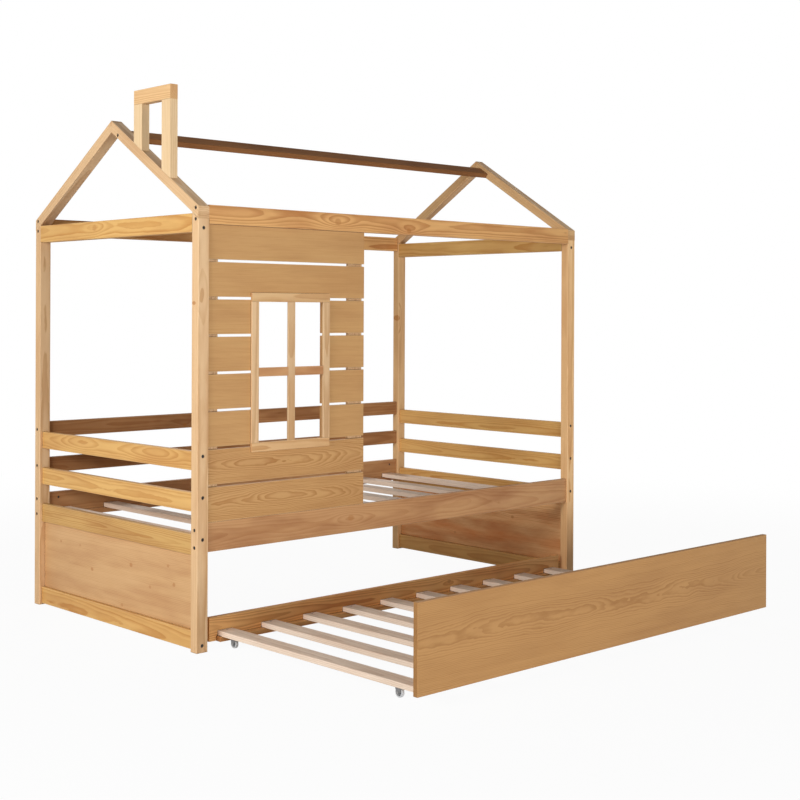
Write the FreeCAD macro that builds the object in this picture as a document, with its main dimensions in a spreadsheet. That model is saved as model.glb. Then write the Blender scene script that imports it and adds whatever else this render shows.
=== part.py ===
"""House-shaped single bed: four posts under an open gable roof, a board wall with a window on the
left half of the front, a chimney on the roof and a trundle that rolls out from under the bed.

Millimetres. X runs along the bed, the front faces -Y and the floor is Z = 0. The trundle stands
pulled out, and the origin is on the floor under the middle of the bed and trundle together. The
pieces are laid out about the middle of the bed alone and each finished piece is moved by
FRAME_SHIFT.
"""
import FreeCAD, Part
import Sketcher
import os
import re
from math import cos, pi, sin
from FreeCAD import Placement, Rotation, Vector

SIZES = {
    # Outside of the frame
    "bed_length": 2000.0,
    "bed_width": 1060.0,
    "eaves_height": 1492.5,
    "apex_height": 1828.0,
    "post_width": 45.0,
    "post_depth": 36.0,
    "rafter_plumb": 42.6,
    "edge_round": 2.0,
    "board_round": 1.2,
    # Long rails under the eaves
    "top_rail_lift": 1434.0,
    "top_rail_height": 64.0,
    "top_rail_thickness": 28.0,
    # End frames
    "end_top_lift": 1405.0,
    "end_top_height": 64.0,
    "end_top_thickness": 36.0,
    "end_recess": 12.0,
    "end_rail_thickness": 22.0,
    "end_guard_height": 64.0,
    "end_guard_upper_lift": 606.0,
    "end_guard_lower_lift": 467.0,
    "wide_rail_lift": 321.0,
    "wide_rail_height": 70.0,
    "bottom_rail_lift": 5.0,
    "bottom_rail_height": 63.0,
    "panel_thickness": 9.0,
    "panel_rebate": 8.0,
    # Side rails and the guard rails at the back
    "side_rail_lift": 332.0,
    "side_rail_height": 99.0,
    "side_rail_thickness": 20.0,
    "front_recess": 7.0,
    "back_recess": 5.0,
    "back_guard_height": 60.0,
    "back_guard_upper_lift": 648.0,
    "back_guard_lower_lift": 508.0,
    # Board wall
    "wall_length": 720.0,
    "wall_thickness": 12.0,
    "wall_gap": 9.0,
    "batten_thickness": 13.0,
    "batten_left_width": 52.0,
    "batten_right_width": 68.0,
    # Window in the wall
    "window_left_inset": 185.0,
    "window_width": 359.0,
    "window_height": 548.0,
    "window_lift": 657.0,
    "casing_width": 31.0,
    "casing_thickness": 8.0,
    # Ridge beam, set against the front slope
    "beam_width": 57.0,
    "beam_thickness": 21.5,
    "beam_from_ridge": 38.0,
    # Chimney on the left front rafter
    "chimney_from_ridge": 145.5,
    "chimney_length": 220.5,
    "chimney_stock": 50.5,
    "chimney_thickness": 31.0,
    "chimney_top": 1918.5,
    # Bed slats
    "slat_width": 64.0,
    "slat_thickness": 18.0,
    "slat_top": 369.0,
    "slat_play": 2.0,
    "end_slat_inset": 33.0,
    "slat_pitch": 191.2,
    "cleat_depth": 22.0,
    "cleat_inset": 55.0,
    # Trundle
    "trundle_end_play": 25.0,
    "trundle_travel": 957.0,
    "trundle_depth": 1000.0,
    "trundle_panel_lift": 42.0,
    "trundle_panel_height": 272.0,
    "trundle_panel_thickness": 18.0,
    "trundle_rail_lift": 24.0,
    "trundle_rail_height": 82.0,
    "trundle_rail_thickness": 18.0,
    "trundle_slat_inset": 35.0,
    "trundle_slat_thickness": 18.0,
    "trundle_slat_play": 1.0,
    "trundle_cleat_depth": 25.0,
    "trundle_cleat_height": 20.0,
    "trundle_cleat_inset": 30.0,
    # Casters
    "caster_height": 41.0,
    "caster_front_setback": 146.0,
    "caster_back_setback": 62.0,
    "caster_end_inset": 75.0,
    "wheel_radius": 15.0,
    "wheel_half_width": 5.5,
    "wheel_chamfer": 2.0,
    "rim_depth": 4.5,
    "web_half_width": 2.2,
    "hub_radius": 5.5,
    "hub_half_width": 6.2,
    "axle_radius": 2.5,
    "axle_clearance": 0.05,
    "axle_head_radius": 4.0,
    "axle_head_height": 1.5,
    "plate_length": 38.0,
    "plate_depth": 32.0,
    "plate_thickness": 2.5,
    "plate_hole_inset": 6.0,
    "cheek_gap": 0.3,
    "cheek_thickness": 2.0,
    "cheek_top_depth": 26.0,
    "cheek_foot_radius": 6.0,
    # Bolts with barrel nuts
    "bolt_hole_radius": 3.5,
    "bolt_shank_radius": 3.0,
    "bolt_seat_radius": 6.25,
    "bolt_seat_depth": 8.0,
    "bolt_head_radius": 5.0,
    "bolt_head_height": 6.0,
    "bolt_socket_radius": 2.9,
    "bolt_socket_depth": 3.5,
    "bolt_tip": 3.0,
    "nut_setback": 46.0,
    "nut_radius": 5.0,
    "nut_length": 14.0,
    "nut_hole_radius": 5.1,
    "nut_hole_end": 0.5,
    "nut_bore_radius": 3.05,
    "end_bolt_drop": 14.0,
    "end_top_bolt_rise": 14.5,
    "bottom_bolt_rise": 18.5,
    "side_bolt_rise": 18.5,
    "side_bolt_drop": 22.0,
    "eaves_bolt_setback": 16.0,
    "eaves_bolt_rise": 15.0,
    "rafter_bolt_drop": 11.0,
    # Dowels
    "dowel_radius": 4.0,
    "dowel_hole_radius": 4.1,
    "dowel_length": 36.0,
    "dowel_hole_end": 1.0,
    "dowel_spacing": 36.0,
    "end_top_dowel_spacing": 17.5,
    "bottom_dowel_spacing": 28.5,
    "back_guard_dowel_spacing": 20.0,
    "foot_dowel_setback": 29.0,
    "apex_dowel_drop": 22.0,
    "beam_dowel_spacing": 20.0,
    "beam_dowel_radius": 3.0,
    # Screws
    "screw_hole_radius": 2.1,
    "screw_shank_radius": 2.0,
    "screw_seat_radius": 4.1,
    "screw_head_radius": 4.0,
    "screw_seat_depth": 3.0,
    "screw_bite": 12.0,
    "wall_screw_bite": 8.0,
    "caster_screw_bite": 13.0,
    "screw_hole_end": 0.5,
}

WALL_BOARDS = 8
LOWEST_CUT_BOARD = 3
HIGHEST_CUT_BOARD = 6
BED_SLATS = 10
TRUNDLE_SLATS = 10
SOCKET_SIDES = 6
# An edge is a long edge of a board when it has at least this share of the longest edge's length.
LONG_EDGE_SHARE = 0.5
# A sketch's corners start on a ring of this radius, before its constraints move them.
START_RADIUS = 100.0
# A piece that leans with the roof starts at this angle, before its formula turns it.
START_TILT = 30.0

# Places and lengths that several pieces share, as formulas of the sizes above
FRAME_SHIFT = "(trundle_travel / 2)"
POST_FACE_X = "(bed_length / 2 - post_width)"
POST_FACE_Y = "(bed_width / 2 - post_depth)"
SLOPE = "((apex_height - eaves_height) / (bed_width / 2))"
ROOF_ANGLE = f"atan({SLOPE})"
POST_TOP = "(eaves_height - rafter_plumb)"
END_START_X = {"left": "(-bed_length / 2)", "right": POST_FACE_X}
END_BOLT_X = {"left": "(-(bed_length - post_width) / 2)", "right": "((bed_length - post_width) / 2)"}
SIDE_SIGN = {"front": "-1", "back": "1"}
SIDE_RAIL_TOP = "(side_rail_lift + side_rail_height)"
FRONT_FACE_Y = "(front_recess - bed_width / 2)"
FRONT_RAIL_INNER_Y = f"({FRONT_FACE_Y} + side_rail_thickness)"
BACK_RAIL_INNER_Y = "(bed_width / 2 - back_recess - side_rail_thickness)"
WALL_BACK_Y = f"({FRONT_FACE_Y} + wall_thickness)"
WALL_HEIGHT = f"(top_rail_lift - {SIDE_RAIL_TOP})"
BOARD_HEIGHT = f"(({WALL_HEIGHT} + wall_gap) / {WALL_BOARDS} - wall_gap)"
WALL_END_X = f"(wall_length - {POST_FACE_X})"
WINDOW_X = f"(window_left_inset - {POST_FACE_X})"
WINDOW_MIDDLE_X = f"({WINDOW_X} + window_width / 2)"
TRUNDLE_LENGTH = "(bed_length - 2 * post_width - 2 * trundle_end_play)"
TRUNDLE_FRONT_Y = "(-bed_width / 2 - trundle_travel)"
TRUNDLE_BACK_Y = f"({TRUNDLE_FRONT_Y} + trundle_depth)"
TRUNDLE_PANEL_INNER_Y = f"({TRUNDLE_FRONT_Y} + trundle_panel_thickness)"
TRUNDLE_RAIL_INNER_Y = f"({TRUNDLE_BACK_Y} - trundle_rail_thickness)"
TRUNDLE_SLAT_TOP = "(caster_height + trundle_slat_thickness)"
AXLE_HOLE_RADIUS = "(axle_radius + axle_clearance)"
CHEEK_INNER_X = "(hub_half_width + cheek_gap)"

# Each direction that a hole is drilled in, turned so that the hole's own X axis lies level
DRILLING = {
    "+X": Rotation(Vector(0, 1, 0), Vector(0, 0, 1), Vector(1, 0, 0), "ZXY"),
    "-X": Rotation(Vector(0, 1, 0), Vector(0, 0, -1), Vector(-1, 0, 0), "ZXY"),
    "+Y": Rotation(Vector(1, 0, 0), Vector(0, 0, -1), Vector(0, 1, 0), "ZXY"),
    "-Y": Rotation(Vector(1, 0, 0), Vector(0, 0, 1), Vector(0, -1, 0), "ZXY"),
    "+Z": Rotation(),
    "-Z": Rotation(Vector(1, 0, 0), Vector(0, -1, 0), Vector(0, 0, -1), "ZXY"),
}

DOC = FreeCAD.newDocument("house_bed")
NODES = {}
BOLT_HOLES = []
NUT_HOLES = []
DOWEL_HOLES = []
BEAM_DOWEL_HOLES = []
BED_SCREW_HOLES = []
TRUNDLE_SCREW_HOLES = []


# ---------------------------------------------------------------- sheet and bindings

def make_sheet():
    """Write every driving size into the sheet, one named cell each."""
    sheet = DOC.addObject("Spreadsheet::Sheet", "sizes")
    for row, (name, value) in enumerate(SIZES.items(), start=1):
        sheet.set(f"A{row}", name)
        sheet.set(f"B{row}", str(value))
        sheet.setAlias(f"B{row}", name)
    DOC.recompute()
    return sheet


def formula(text):
    """Turn size names in a formula into references to the sheet's cells."""
    return re.sub(r"[a-z]\w*", lambda word: "sizes." + word[0] if word[0] in SIZES else word[0], text)


def bind(thing, **formulas):
    """Bind properties of an object to formulas of the sheet's sizes."""
    for name, text in formulas.items():
        thing.setExpression(name, formula(text))


def bind_base(thing, x, y, z):
    """Bind the position of an object to formulas, keeping its rotation."""
    for axis, text in zip("xyz", (x, y, z)):
        thing.setExpression(f"Placement.Base.{axis}", formula(text))


# ---------------------------------------------------------------- blanks and cutting tools

def box(name, corner, size):
    """A square block from its low corner and its three sizes."""
    block = DOC.addObject("Part::Box", name)
    bind(block, Length=size[0], Width=size[1], Height=size[2])
    bind_base(block, *corner)
    return block


def rod(name, start, direction, radius, length):
    """A cylinder that starts at a point and runs in one of the drilling directions."""
    cylinder = DOC.addObject("Part::Cylinder", name)
    cylinder.Placement = Placement(Vector(), DRILLING[direction])
    bind(cylinder, Radius=radius, Height=length)
    bind_base(cylinder, *start)
    return cylinder


def tilt_with_roof(thing):
    """Turn an object about X by the angle of the front slope."""
    thing.Placement = Placement(Vector(), Rotation(Vector(1, 0, 0), START_TILT))
    thing.setExpression("Placement.Rotation.Angle", formula(ROOF_ANGLE))


def closed_sketch(body, name, plane_role, points):
    """A closed outline in one of the body's planes, each corner bound to two formulas."""
    sketch = body.newObject("Sketcher::SketchObject", name)
    plane = next(part for part in body.Origin.OriginFeatures if part.Role == plane_role)
    sketch.AttachmentSupport = [(plane, "")]
    sketch.MapMode = "FlatFace"
    count = len(points)
    angles = [2 * pi * i / count + 1 for i in range(count)]
    ring = [Vector(START_RADIUS * cos(angle), START_RADIUS * sin(angle), 0) for angle in angles]
    for i in range(count):
        sketch.addGeometry(Part.LineSegment(ring[i], ring[(i + 1) % count]), False)
    for i in range(count):
        sketch.addConstraint(Sketcher.Constraint("Coincident", i, 2, (i + 1) % count, 1))
    for i, (across, up) in enumerate(points):
        pin_corner(sketch, i, "X", across, ring[i].x)
        pin_corner(sketch, i, "Y", up, ring[i].y)
    return sketch


def pin_corner(sketch, corner, axis, text, start):
    """Hold one coordinate of a sketch corner on an axis or at a bound distance from it."""
    if text == "0":
        other_axis = -2 if axis == "X" else -1
        sketch.addConstraint(Sketcher.Constraint("PointOnObject", corner, 1, other_axis))
        return
    label = f"{axis.lower()}_{corner}"
    index = sketch.addConstraint(Sketcher.Constraint("Distance" + axis, -1, 1, corner, 1, start))
    sketch.renameConstraint(index, label)
    sketch.setExpression(f"Constraints.{label}", formula(text))


def padded_profile(name, points, thickness, start_x):
    """A body whose side view is the given outline, padded along X from start_x."""
    body = DOC.addObject("PartDesign::Body", name)
    sketch = closed_sketch(body, name + "_outline", "YZ_Plane", points)
    pad = body.newObject("PartDesign::Pad", name + "_pad")
    pad.Profile = sketch
    bind(pad, Length=thickness)
    bind_base(body, start_x, "0", "0")
    DOC.recompute()
    return body


def eased(blank, radius="edge_round", all_edges=False):
    """Round the long edges of a blank, or all of its edges."""
    blank.recompute()
    edges = blank.Shape.Edges
    longest = max(edge.Length for edge in edges)
    least = 0 if all_edges else LONG_EDGE_SHARE * longest
    fillet = DOC.addObject("Part::Fillet", blank.Name + "_eased")
    fillet.Base = blank
    size = SIZES[radius]
    numbers = [number for number, edge in enumerate(edges, start=1) if edge.Length >= least]
    fillet.Edges = [(number, size, size) for number in numbers]
    return fillet


def cut_away(blank, tools):
    """Take the joined tools away from a blank."""
    if not tools:
        return blank
    tool = tools[0]
    if len(tools) > 1:
        tool = DOC.addObject("Part::MultiFuse", blank.Name + "_tools")
        tool.Shapes = tools
    result = DOC.addObject("Part::Cut", blank.Name + "_cut")
    result.Base = blank
    result.Tool = tool
    return result


def name_node(node, piece):
    """Give a finished piece its name and move it from the bed's middle to the shared origin."""
    piece.Label = node
    piece.setExpression("Placement.Base.y", formula(FRAME_SHIFT))
    NODES[node] = piece


def name_group(node, pieces):
    """Collect separate pieces of one kind under one name."""
    group = DOC.addObject("Part::Compound", node + "_group")
    group.Links = pieces
    name_node(node, group)


# ---------------------------------------------------------------- fasteners' holes

class Drilling:
    """The holes that each piece of the frame receives, by the name of the piece."""

    def __init__(self):
        self.tools = {}

    def add(self, tool, *pieces):
        for piece in pieces:
            self.tools.setdefault(piece, []).append(tool)

    def of(self, piece):
        return self.tools.get(piece, [])


HOLES = Drilling()


def along(start, direction, distance):
    """The point a distance along a drilling direction from a start point."""
    sign = "+" if direction[0] == "+" else "-"
    moved = list(start)
    axis = "XYZ".index(direction[1])
    moved[axis] = f"({start[axis]} {sign} ({distance}))"
    return moved


def bolt_joint(name, outer, inner, start, direction, outer_size, nut):
    """Holes for a bolt through the outer piece into the inner one, and for its barrel nut.

    start lies on the outer face, and nut is its face's coordinate, drilling direction and the
    depth of the bolt's axis below that face.
    """
    seat = rod(name + "_seat", start, direction, "bolt_seat_radius", "bolt_seat_depth")
    reach = f"{outer_size} + nut_setback + nut_radius + bolt_tip"
    shank = rod(name + "_shank", start, direction, "bolt_hole_radius", reach)
    nut_face, nut_direction, nut_depth = nut
    nut_start = along(start, direction, f"{outer_size} + nut_setback")
    nut_start["XYZ".index(nut_direction[1])] = nut_face
    nut_length = f"{nut_depth} + nut_length / 2 + nut_hole_end"
    nut_hole = rod(name + "_nut", nut_start, nut_direction, "nut_hole_radius", nut_length)
    HOLES.add(seat, outer)
    HOLES.add(shank, outer, inner)
    HOLES.add(nut_hole, inner)
    BOLT_HOLES.append(shank)
    NUT_HOLES.append(nut_hole)


def dowel_joint(name, pieces, middle, direction, radius="dowel_hole_radius", holes=None):
    """One hole for a dowel, half in each of two pieces about the joint's face."""
    length = "dowel_length + 2 * dowel_hole_end"
    start = along(middle, direction, f"-({length}) / 2")
    hole = rod(name + "_dowel", start, direction, radius, length)
    HOLES.add(hole, *pieces)
    (DOWEL_HOLES if holes is None else holes).append(hole)


def screw_joint(name, outer, inner, start, direction, outer_size, bite, holes):
    """A seat and hole for a screw through the outer piece that bites into the inner one."""
    seat = rod(name + "_seat", start, direction, "screw_seat_radius", "screw_seat_depth")
    length = f"{outer_size} + {bite} + screw_hole_end"
    hole = rod(name + "_hole", start, direction, "screw_hole_radius", length)
    HOLES.add(seat, outer)
    HOLES.add(hole, outer, inner)
    holes.append(hole)


# ---------------------------------------------------------------- joints of the frame

ENDS = ("left", "right")
SIDES = ("front", "back")
# Each rail of an end frame: the height of its bolt, and how far from the bolt its dowel stands
END_RAILS = {
    "end_top_rail": ("end_top_lift + end_top_bolt_rise", "end_top_dowel_spacing"),
    "end_guard_upper": ("end_guard_upper_lift + end_guard_height - end_bolt_drop", "-dowel_spacing"),
    "end_guard_lower": ("end_guard_lower_lift + end_guard_height - end_bolt_drop", "-dowel_spacing"),
    "end_wide_rail": ("wide_rail_lift + wide_rail_height - end_bolt_drop", "-dowel_spacing"),
    "end_bottom_rail": ("bottom_rail_lift + bottom_bolt_rise", "bottom_dowel_spacing"),
}


def drill_end_frames():
    """Bolts and dowels that run along Y through the posts into the end rails."""
    for end in ENDS:
        for rail, (height, spacing) in END_RAILS.items():
            thickness = "end_recess + end_rail_thickness"
            if rail == "end_top_rail":
                thickness = "end_top_thickness"
            nut_face = f"({END_START_X[end]} + {thickness})"
            nut = (nut_face, "-X", f"({nut_face} - {END_BOLT_X[end]})")
            for side in SIDES:
                sign = SIDE_SIGN[side]
                inward = "+Y" if side == "front" else "-Y"
                name = f"{rail}_{end}_{side}"
                post = f"post_{side}_{end}"
                face = [END_BOLT_X[end], f"{sign} * bed_width / 2", height]
                bolt_joint(name, post, f"{rail}_{end}", face, inward, "post_depth", nut)
                middle = [END_BOLT_X[end], f"{sign} * {POST_FACE_Y}", f"{height} + {spacing}"]
                dowel_joint(name, (post, f"{rail}_{end}"), middle, inward)


def long_rail_bolt(name, outer, rail, y, z, end, nut):
    """A bolt that runs along X through the outer piece into the end of a long rail."""
    inward = "+X" if end == "left" else "-X"
    sign = "-1" if end == "left" else "1"
    face = [f"{sign} * bed_length / 2", y, z]
    bolt_joint(name, outer, rail, face, inward, "post_width", nut)


def drill_long_rails():
    """Bolts and dowels that run along X through posts and rafters into the long rails."""
    for end in ENDS:
        sign = "-1" if end == "left" else "1"
        for side in SIDES:
            post = f"post_{side}_{end}"
            drill_eaves(side, end, post)
            rail = f"side_rail_{side}"
            if side == "front":
                axis_y = f"({FRONT_FACE_Y} + side_rail_thickness / 2)"
                nut = (FRONT_RAIL_INNER_Y, "-Y", "side_rail_thickness / 2")
            else:
                axis_y = f"({BACK_RAIL_INNER_Y} + side_rail_thickness / 2)"
                nut = (BACK_RAIL_INNER_Y, "+Y", "side_rail_thickness / 2")
            low = "side_rail_lift + side_bolt_rise"
            high = f"{SIDE_RAIL_TOP} - side_bolt_drop"
            long_rail_bolt(f"{rail}_{end}_low", post, rail, axis_y, low, end, nut)
            long_rail_bolt(f"{rail}_{end}_high", post, rail, axis_y, high, end, nut)
        for level in ("upper", "lower"):
            rail = f"back_guard_{level}"
            axis_y = f"({BACK_RAIL_INNER_Y} + side_rail_thickness / 2)"
            height = f"back_guard_{level}_lift + back_guard_height / 2"
            nut = ("(bed_width / 2 - back_recess)", "-Y", "side_rail_thickness / 2")
            post = f"post_back_{end}"
            long_rail_bolt(f"{rail}_{end}", post, rail, axis_y, height, end, nut)
            middle = [f"{sign} * {POST_FACE_X}", axis_y, f"{height} + back_guard_dowel_spacing"]
            dowel_joint(f"{rail}_{end}", (post, rail), middle, "+X")


def drill_eaves(side, end, post):
    """The two bolts at each end of a top rail and the dowel under each rafter's foot."""
    sign = SIDE_SIGN[side]
    rail = f"top_rail_{side}"
    rafter = f"rafter_{side}_{end}"
    axis_y = f"({sign} * (bed_width / 2 - eaves_bolt_setback))"
    if side == "front":
        nut_face = "(top_rail_thickness - bed_width / 2)"
        nut = (nut_face, "-Y", "top_rail_thickness - eaves_bolt_setback")
    else:
        nut_face = "(bed_width / 2)"
        nut = (nut_face, "-Y", "eaves_bolt_setback")
    low = "top_rail_lift + eaves_bolt_rise"
    high = "top_rail_lift + top_rail_height - rafter_bolt_drop"
    long_rail_bolt(f"{rail}_{end}_post", post, rail, axis_y, low, end, nut)
    long_rail_bolt(f"{rail}_{end}_rafter", rafter, rail, axis_y, high, end, nut)
    foot_y = f"({sign} * (bed_width / 2 - foot_dowel_setback))"
    foot = [END_BOLT_X[end], foot_y, f"{POST_TOP} + {SLOPE} * foot_dowel_setback"]
    dowel_joint(f"{rafter}_foot", (post, rafter), foot, "+Z")


def slope_point(run, depth):
    """Y and Z of a point a run down the front slope from the ridge and a depth under it."""
    y = f"(({depth}) * sin({ROOF_ANGLE}) - ({run}) * cos({ROOF_ANGLE}))"
    z = f"(apex_height - ({run}) * sin({ROOF_ANGLE}) - ({depth}) * cos({ROOF_ANGLE}))"
    return y, z


RAFTER_DEPTH = f"(rafter_plumb * cos({ROOF_ANGLE}))"


def drill_ridge():
    """Dowels that join the rafters at the apex, and the bolts and pegs of the ridge beam."""
    middle_run = "beam_from_ridge + beam_width / 2"
    middle_depth = f"{RAFTER_DEPTH} - beam_thickness / 2"
    bolt_y, bolt_z = slope_point(middle_run, middle_depth)
    peg_y, peg_z = slope_point(f"{middle_run} - beam_dowel_spacing", middle_depth)
    under_y, under_z = slope_point(middle_run, RAFTER_DEPTH)
    nut_depth = "beam_thickness / 2 + nut_length / 2 + nut_hole_end"
    peg_hole_radius = "beam_dowel_radius + dowel_hole_radius - dowel_radius"
    for end in ENDS:
        rafters = (f"rafter_front_{end}", f"rafter_back_{end}")
        apex = [END_BOLT_X[end], "0", "apex_height - apex_dowel_drop"]
        dowel_joint(f"apex_{end}", rafters, apex, "+Y")
        inward = "+X" if end == "left" else "-X"
        sign = "-1" if end == "left" else "1"
        start = [f"{sign} * bed_length / 2", bolt_y, bolt_z]
        name = f"ridge_beam_{end}"
        seat = rod(name + "_seat", start, inward, "bolt_seat_radius", "bolt_seat_depth")
        reach = "post_width + nut_setback + nut_radius + bolt_tip"
        shank = rod(name + "_shank", start, inward, "bolt_hole_radius", reach)
        nut_hole = DOC.addObject("Part::Cylinder", name + "_nut")
        tilt_with_roof(nut_hole)
        nut_x = f"{sign} * ({POST_FACE_X} - nut_setback)"
        bind(nut_hole, Radius="nut_hole_radius", Height=nut_depth)
        bind_base(nut_hole, nut_x, under_y, under_z)
        HOLES.add(seat, rafters[0])
        HOLES.add(shank, rafters[0], "ridge_beam")
        HOLES.add(nut_hole, "ridge_beam")
        BOLT_HOLES.append(shank)
        NUT_HOLES.append(nut_hole)
        middle = [f"{sign} * {POST_FACE_X}", peg_y, peg_z]
        pieces = (rafters[0], "ridge_beam")
        dowel_joint(name, pieces, middle, "+X", peg_hole_radius, BEAM_DOWEL_HOLES)


# ---------------------------------------------------------------- screws

def drill_wall():
    """Screws from behind that hold each board of the wall to the two battens."""
    batten_x = {
        "left": f"(batten_left_width / 2 - {POST_FACE_X})",
        "right": f"({WALL_END_X} - batten_right_width / 2)",
    }
    back_y = f"{WALL_BACK_Y} + batten_thickness"
    for number in range(1, WALL_BOARDS + 1):
        middle_z = f"{board_lift(number)} + {BOARD_HEIGHT} / 2"
        for side, x in batten_x.items():
            name = f"wall_screw_{number}_{side}"
            board = board_piece(number, side)
            screw_joint(name, f"wall_batten_{side}", board, [x, back_y, middle_z],
                        "-Y", "batten_thickness", "wall_screw_bite", BED_SCREW_HOLES)


def drill_bed_slats():
    """One screw through each end of each bed slat into its cleat."""
    ends = {
        "front": f"({FRONT_RAIL_INNER_Y} + cleat_depth / 2)",
        "back": f"({BACK_RAIL_INNER_Y} - cleat_depth / 2)",
    }
    for number in range(1, BED_SLATS + 1):
        for side, y in ends.items():
            start = [bed_slat_middle(number), y, "slat_top"]
            screw_joint(f"slat_screw_{number}_{side}", f"bed_slat_{number}", f"slat_cleat_{side}", start,
                        "-Z", "slat_thickness", "screw_bite", BED_SCREW_HOLES)


def drill_trundle_slats():
    """One screw at each end of each trundle slat: up into the front cleat, down into the back one."""
    front_y = f"({TRUNDLE_PANEL_INNER_Y} + trundle_cleat_depth / 2)"
    back_y = f"({TRUNDLE_RAIL_INNER_Y} - trundle_cleat_depth / 2)"
    for number in range(1, TRUNDLE_SLATS + 1):
        x = trundle_slat_middle(number)
        slat = f"trundle_slat_{number}"
        screw_joint(f"{slat}_front", slat, "trundle_cleat_front", [x, front_y, "caster_height"],
                    "+Z", "trundle_slat_thickness", "screw_bite", TRUNDLE_SCREW_HOLES)
        screw_joint(f"{slat}_back", slat, "trundle_cleat_back", [x, back_y, TRUNDLE_SLAT_TOP],
                    "-Z", "trundle_slat_thickness", "screw_bite", TRUNDLE_SCREW_HOLES)


# ---------------------------------------------------------------- pieces of the frame

def make_frame_board(node, corner, size):
    """A straight, eased and drilled board of the frame."""
    blank = box(node + "_blank", corner, size)
    name_node(node, cut_away(eased(blank), HOLES.of(node)))


def make_posts():
    """Corner posts, cut off along the slope of the roof at the top."""
    for side in SIDES:
        sign = SIDE_SIGN[side]
        for end in ENDS:
            node = f"post_{side}_{end}"
            outer_y = f"{sign} * bed_width / 2"
            inner_y = f"{sign} * {POST_FACE_Y}"
            inner_top = f"{POST_TOP} + {SLOPE} * post_depth"
            outline = [(outer_y, "0"), (inner_y, "0"), (inner_y, inner_top), (outer_y, POST_TOP)]
            blank = padded_profile(node + "_blank", outline, "post_width", END_START_X[end])
            name_node(node, cut_away(eased(blank), HOLES.of(node)))


def make_rafters():
    """Rafters with a plumb foot over the post and a plumb mitre at the ridge."""
    for side in SIDES:
        outer_y = f"{SIDE_SIGN[side]} * bed_width / 2"
        outline = [(outer_y, POST_TOP), (outer_y, "eaves_height"), ("0", "apex_height"),
                   ("0", "apex_height - rafter_plumb")]
        for end in ENDS:
            node = f"rafter_{side}_{end}"
            blank = padded_profile(node + "_blank", outline, "post_width", END_START_X[end])
            name_node(node, cut_away(eased(blank), HOLES.of(node)))


def make_ridge_beam():
    """The beam between the front rafters, laid against the underside of the front slope."""
    low_run = "beam_from_ridge + beam_width"
    y, z = slope_point(low_run, RAFTER_DEPTH)
    blank = DOC.addObject("Part::Box", "ridge_beam_blank")
    tilt_with_roof(blank)
    bind(blank, Length=f"2 * {POST_FACE_X}", Width="beam_width", Height="beam_thickness")
    bind_base(blank, f"-{POST_FACE_X}", y, z)
    name_node("ridge_beam", cut_away(eased(blank), HOLES.of("ridge_beam")))


def make_long_rails():
    """Rails along X: two under the eaves, two bed side rails and two guard rails at the back."""
    length = f"2 * {POST_FACE_X}"
    start_x = f"-{POST_FACE_X}"
    top_size = (length, "top_rail_thickness", "top_rail_height")
    make_frame_board("top_rail_front", (start_x, "-bed_width / 2", "top_rail_lift"), top_size)
    top_back = (start_x, "bed_width / 2 - top_rail_thickness", "top_rail_lift")
    make_frame_board("top_rail_back", top_back, top_size)
    side_size = (length, "side_rail_thickness", "side_rail_height")
    make_frame_board("side_rail_front", (start_x, FRONT_FACE_Y, "side_rail_lift"), side_size)
    make_frame_board("side_rail_back", (start_x, BACK_RAIL_INNER_Y, "side_rail_lift"), side_size)
    guard_size = (length, "side_rail_thickness", "back_guard_height")
    for level in ("upper", "lower"):
        corner = (start_x, BACK_RAIL_INNER_Y, f"back_guard_{level}_lift")
        make_frame_board(f"back_guard_{level}", corner, guard_size)


def make_end_frames():
    """The rails and the board panel of each end. Both ends are made the same way round."""
    start_y = f"-{POST_FACE_Y}"
    length = f"2 * {POST_FACE_Y}"
    for end in ENDS:
        rail_x = f"{END_START_X[end]} + end_recess"
        top_size = ("end_top_thickness", length, "end_top_height")
        make_frame_board(f"end_top_rail_{end}", (END_START_X[end], start_y, "end_top_lift"), top_size)
        guard_size = ("end_rail_thickness", length, "end_guard_height")
        for level in ("upper", "lower"):
            corner = (rail_x, start_y, f"end_guard_{level}_lift")
            make_frame_board(f"end_guard_{level}_{end}", corner, guard_size)
        panel_x = f"{rail_x} + end_rail_thickness - panel_thickness"
        rebate_size = ("panel_thickness", length, "panel_rebate")
        upper_rebate = box(f"upper_rebate_{end}", (panel_x, start_y, "wide_rail_lift"), rebate_size)
        HOLES.add(upper_rebate, f"end_wide_rail_{end}")
        low_z = "bottom_rail_lift + bottom_rail_height - panel_rebate"
        lower_rebate = box(f"lower_rebate_{end}", (panel_x, start_y, low_z), rebate_size)
        HOLES.add(lower_rebate, f"end_bottom_rail_{end}")
        wide_size = ("end_rail_thickness", length, "wide_rail_height")
        make_frame_board(f"end_wide_rail_{end}", (rail_x, start_y, "wide_rail_lift"), wide_size)
        bottom_size = ("end_rail_thickness", length, "bottom_rail_height")
        make_frame_board(f"end_bottom_rail_{end}", (rail_x, start_y, "bottom_rail_lift"), bottom_size)
        panel_height = f"wide_rail_lift + panel_rebate - ({low_z})"
        panel_size = ("panel_thickness", length, panel_height)
        panel = box(f"end_panel_{end}_board", (panel_x, start_y, low_z), panel_size)
        name_node(f"end_panel_{end}", eased(panel, "board_round"))


# ---------------------------------------------------------------- wall and window

def board_lift(number):
    """Height of the underside of a wall board, counted from 1 at the bottom."""
    return f"({SIDE_RAIL_TOP} + {number - 1} * ({BOARD_HEIGHT} + wall_gap))"


def is_cut(number):
    """Whether the window interrupts this wall board."""
    return LOWEST_CUT_BOARD <= number <= HIGHEST_CUT_BOARD


def board_piece(number, side):
    """Name of the wall board, or of its part on one side of the window."""
    return f"wall_board_{number}_{side}" if is_cut(number) else f"wall_board_{number}"


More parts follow.
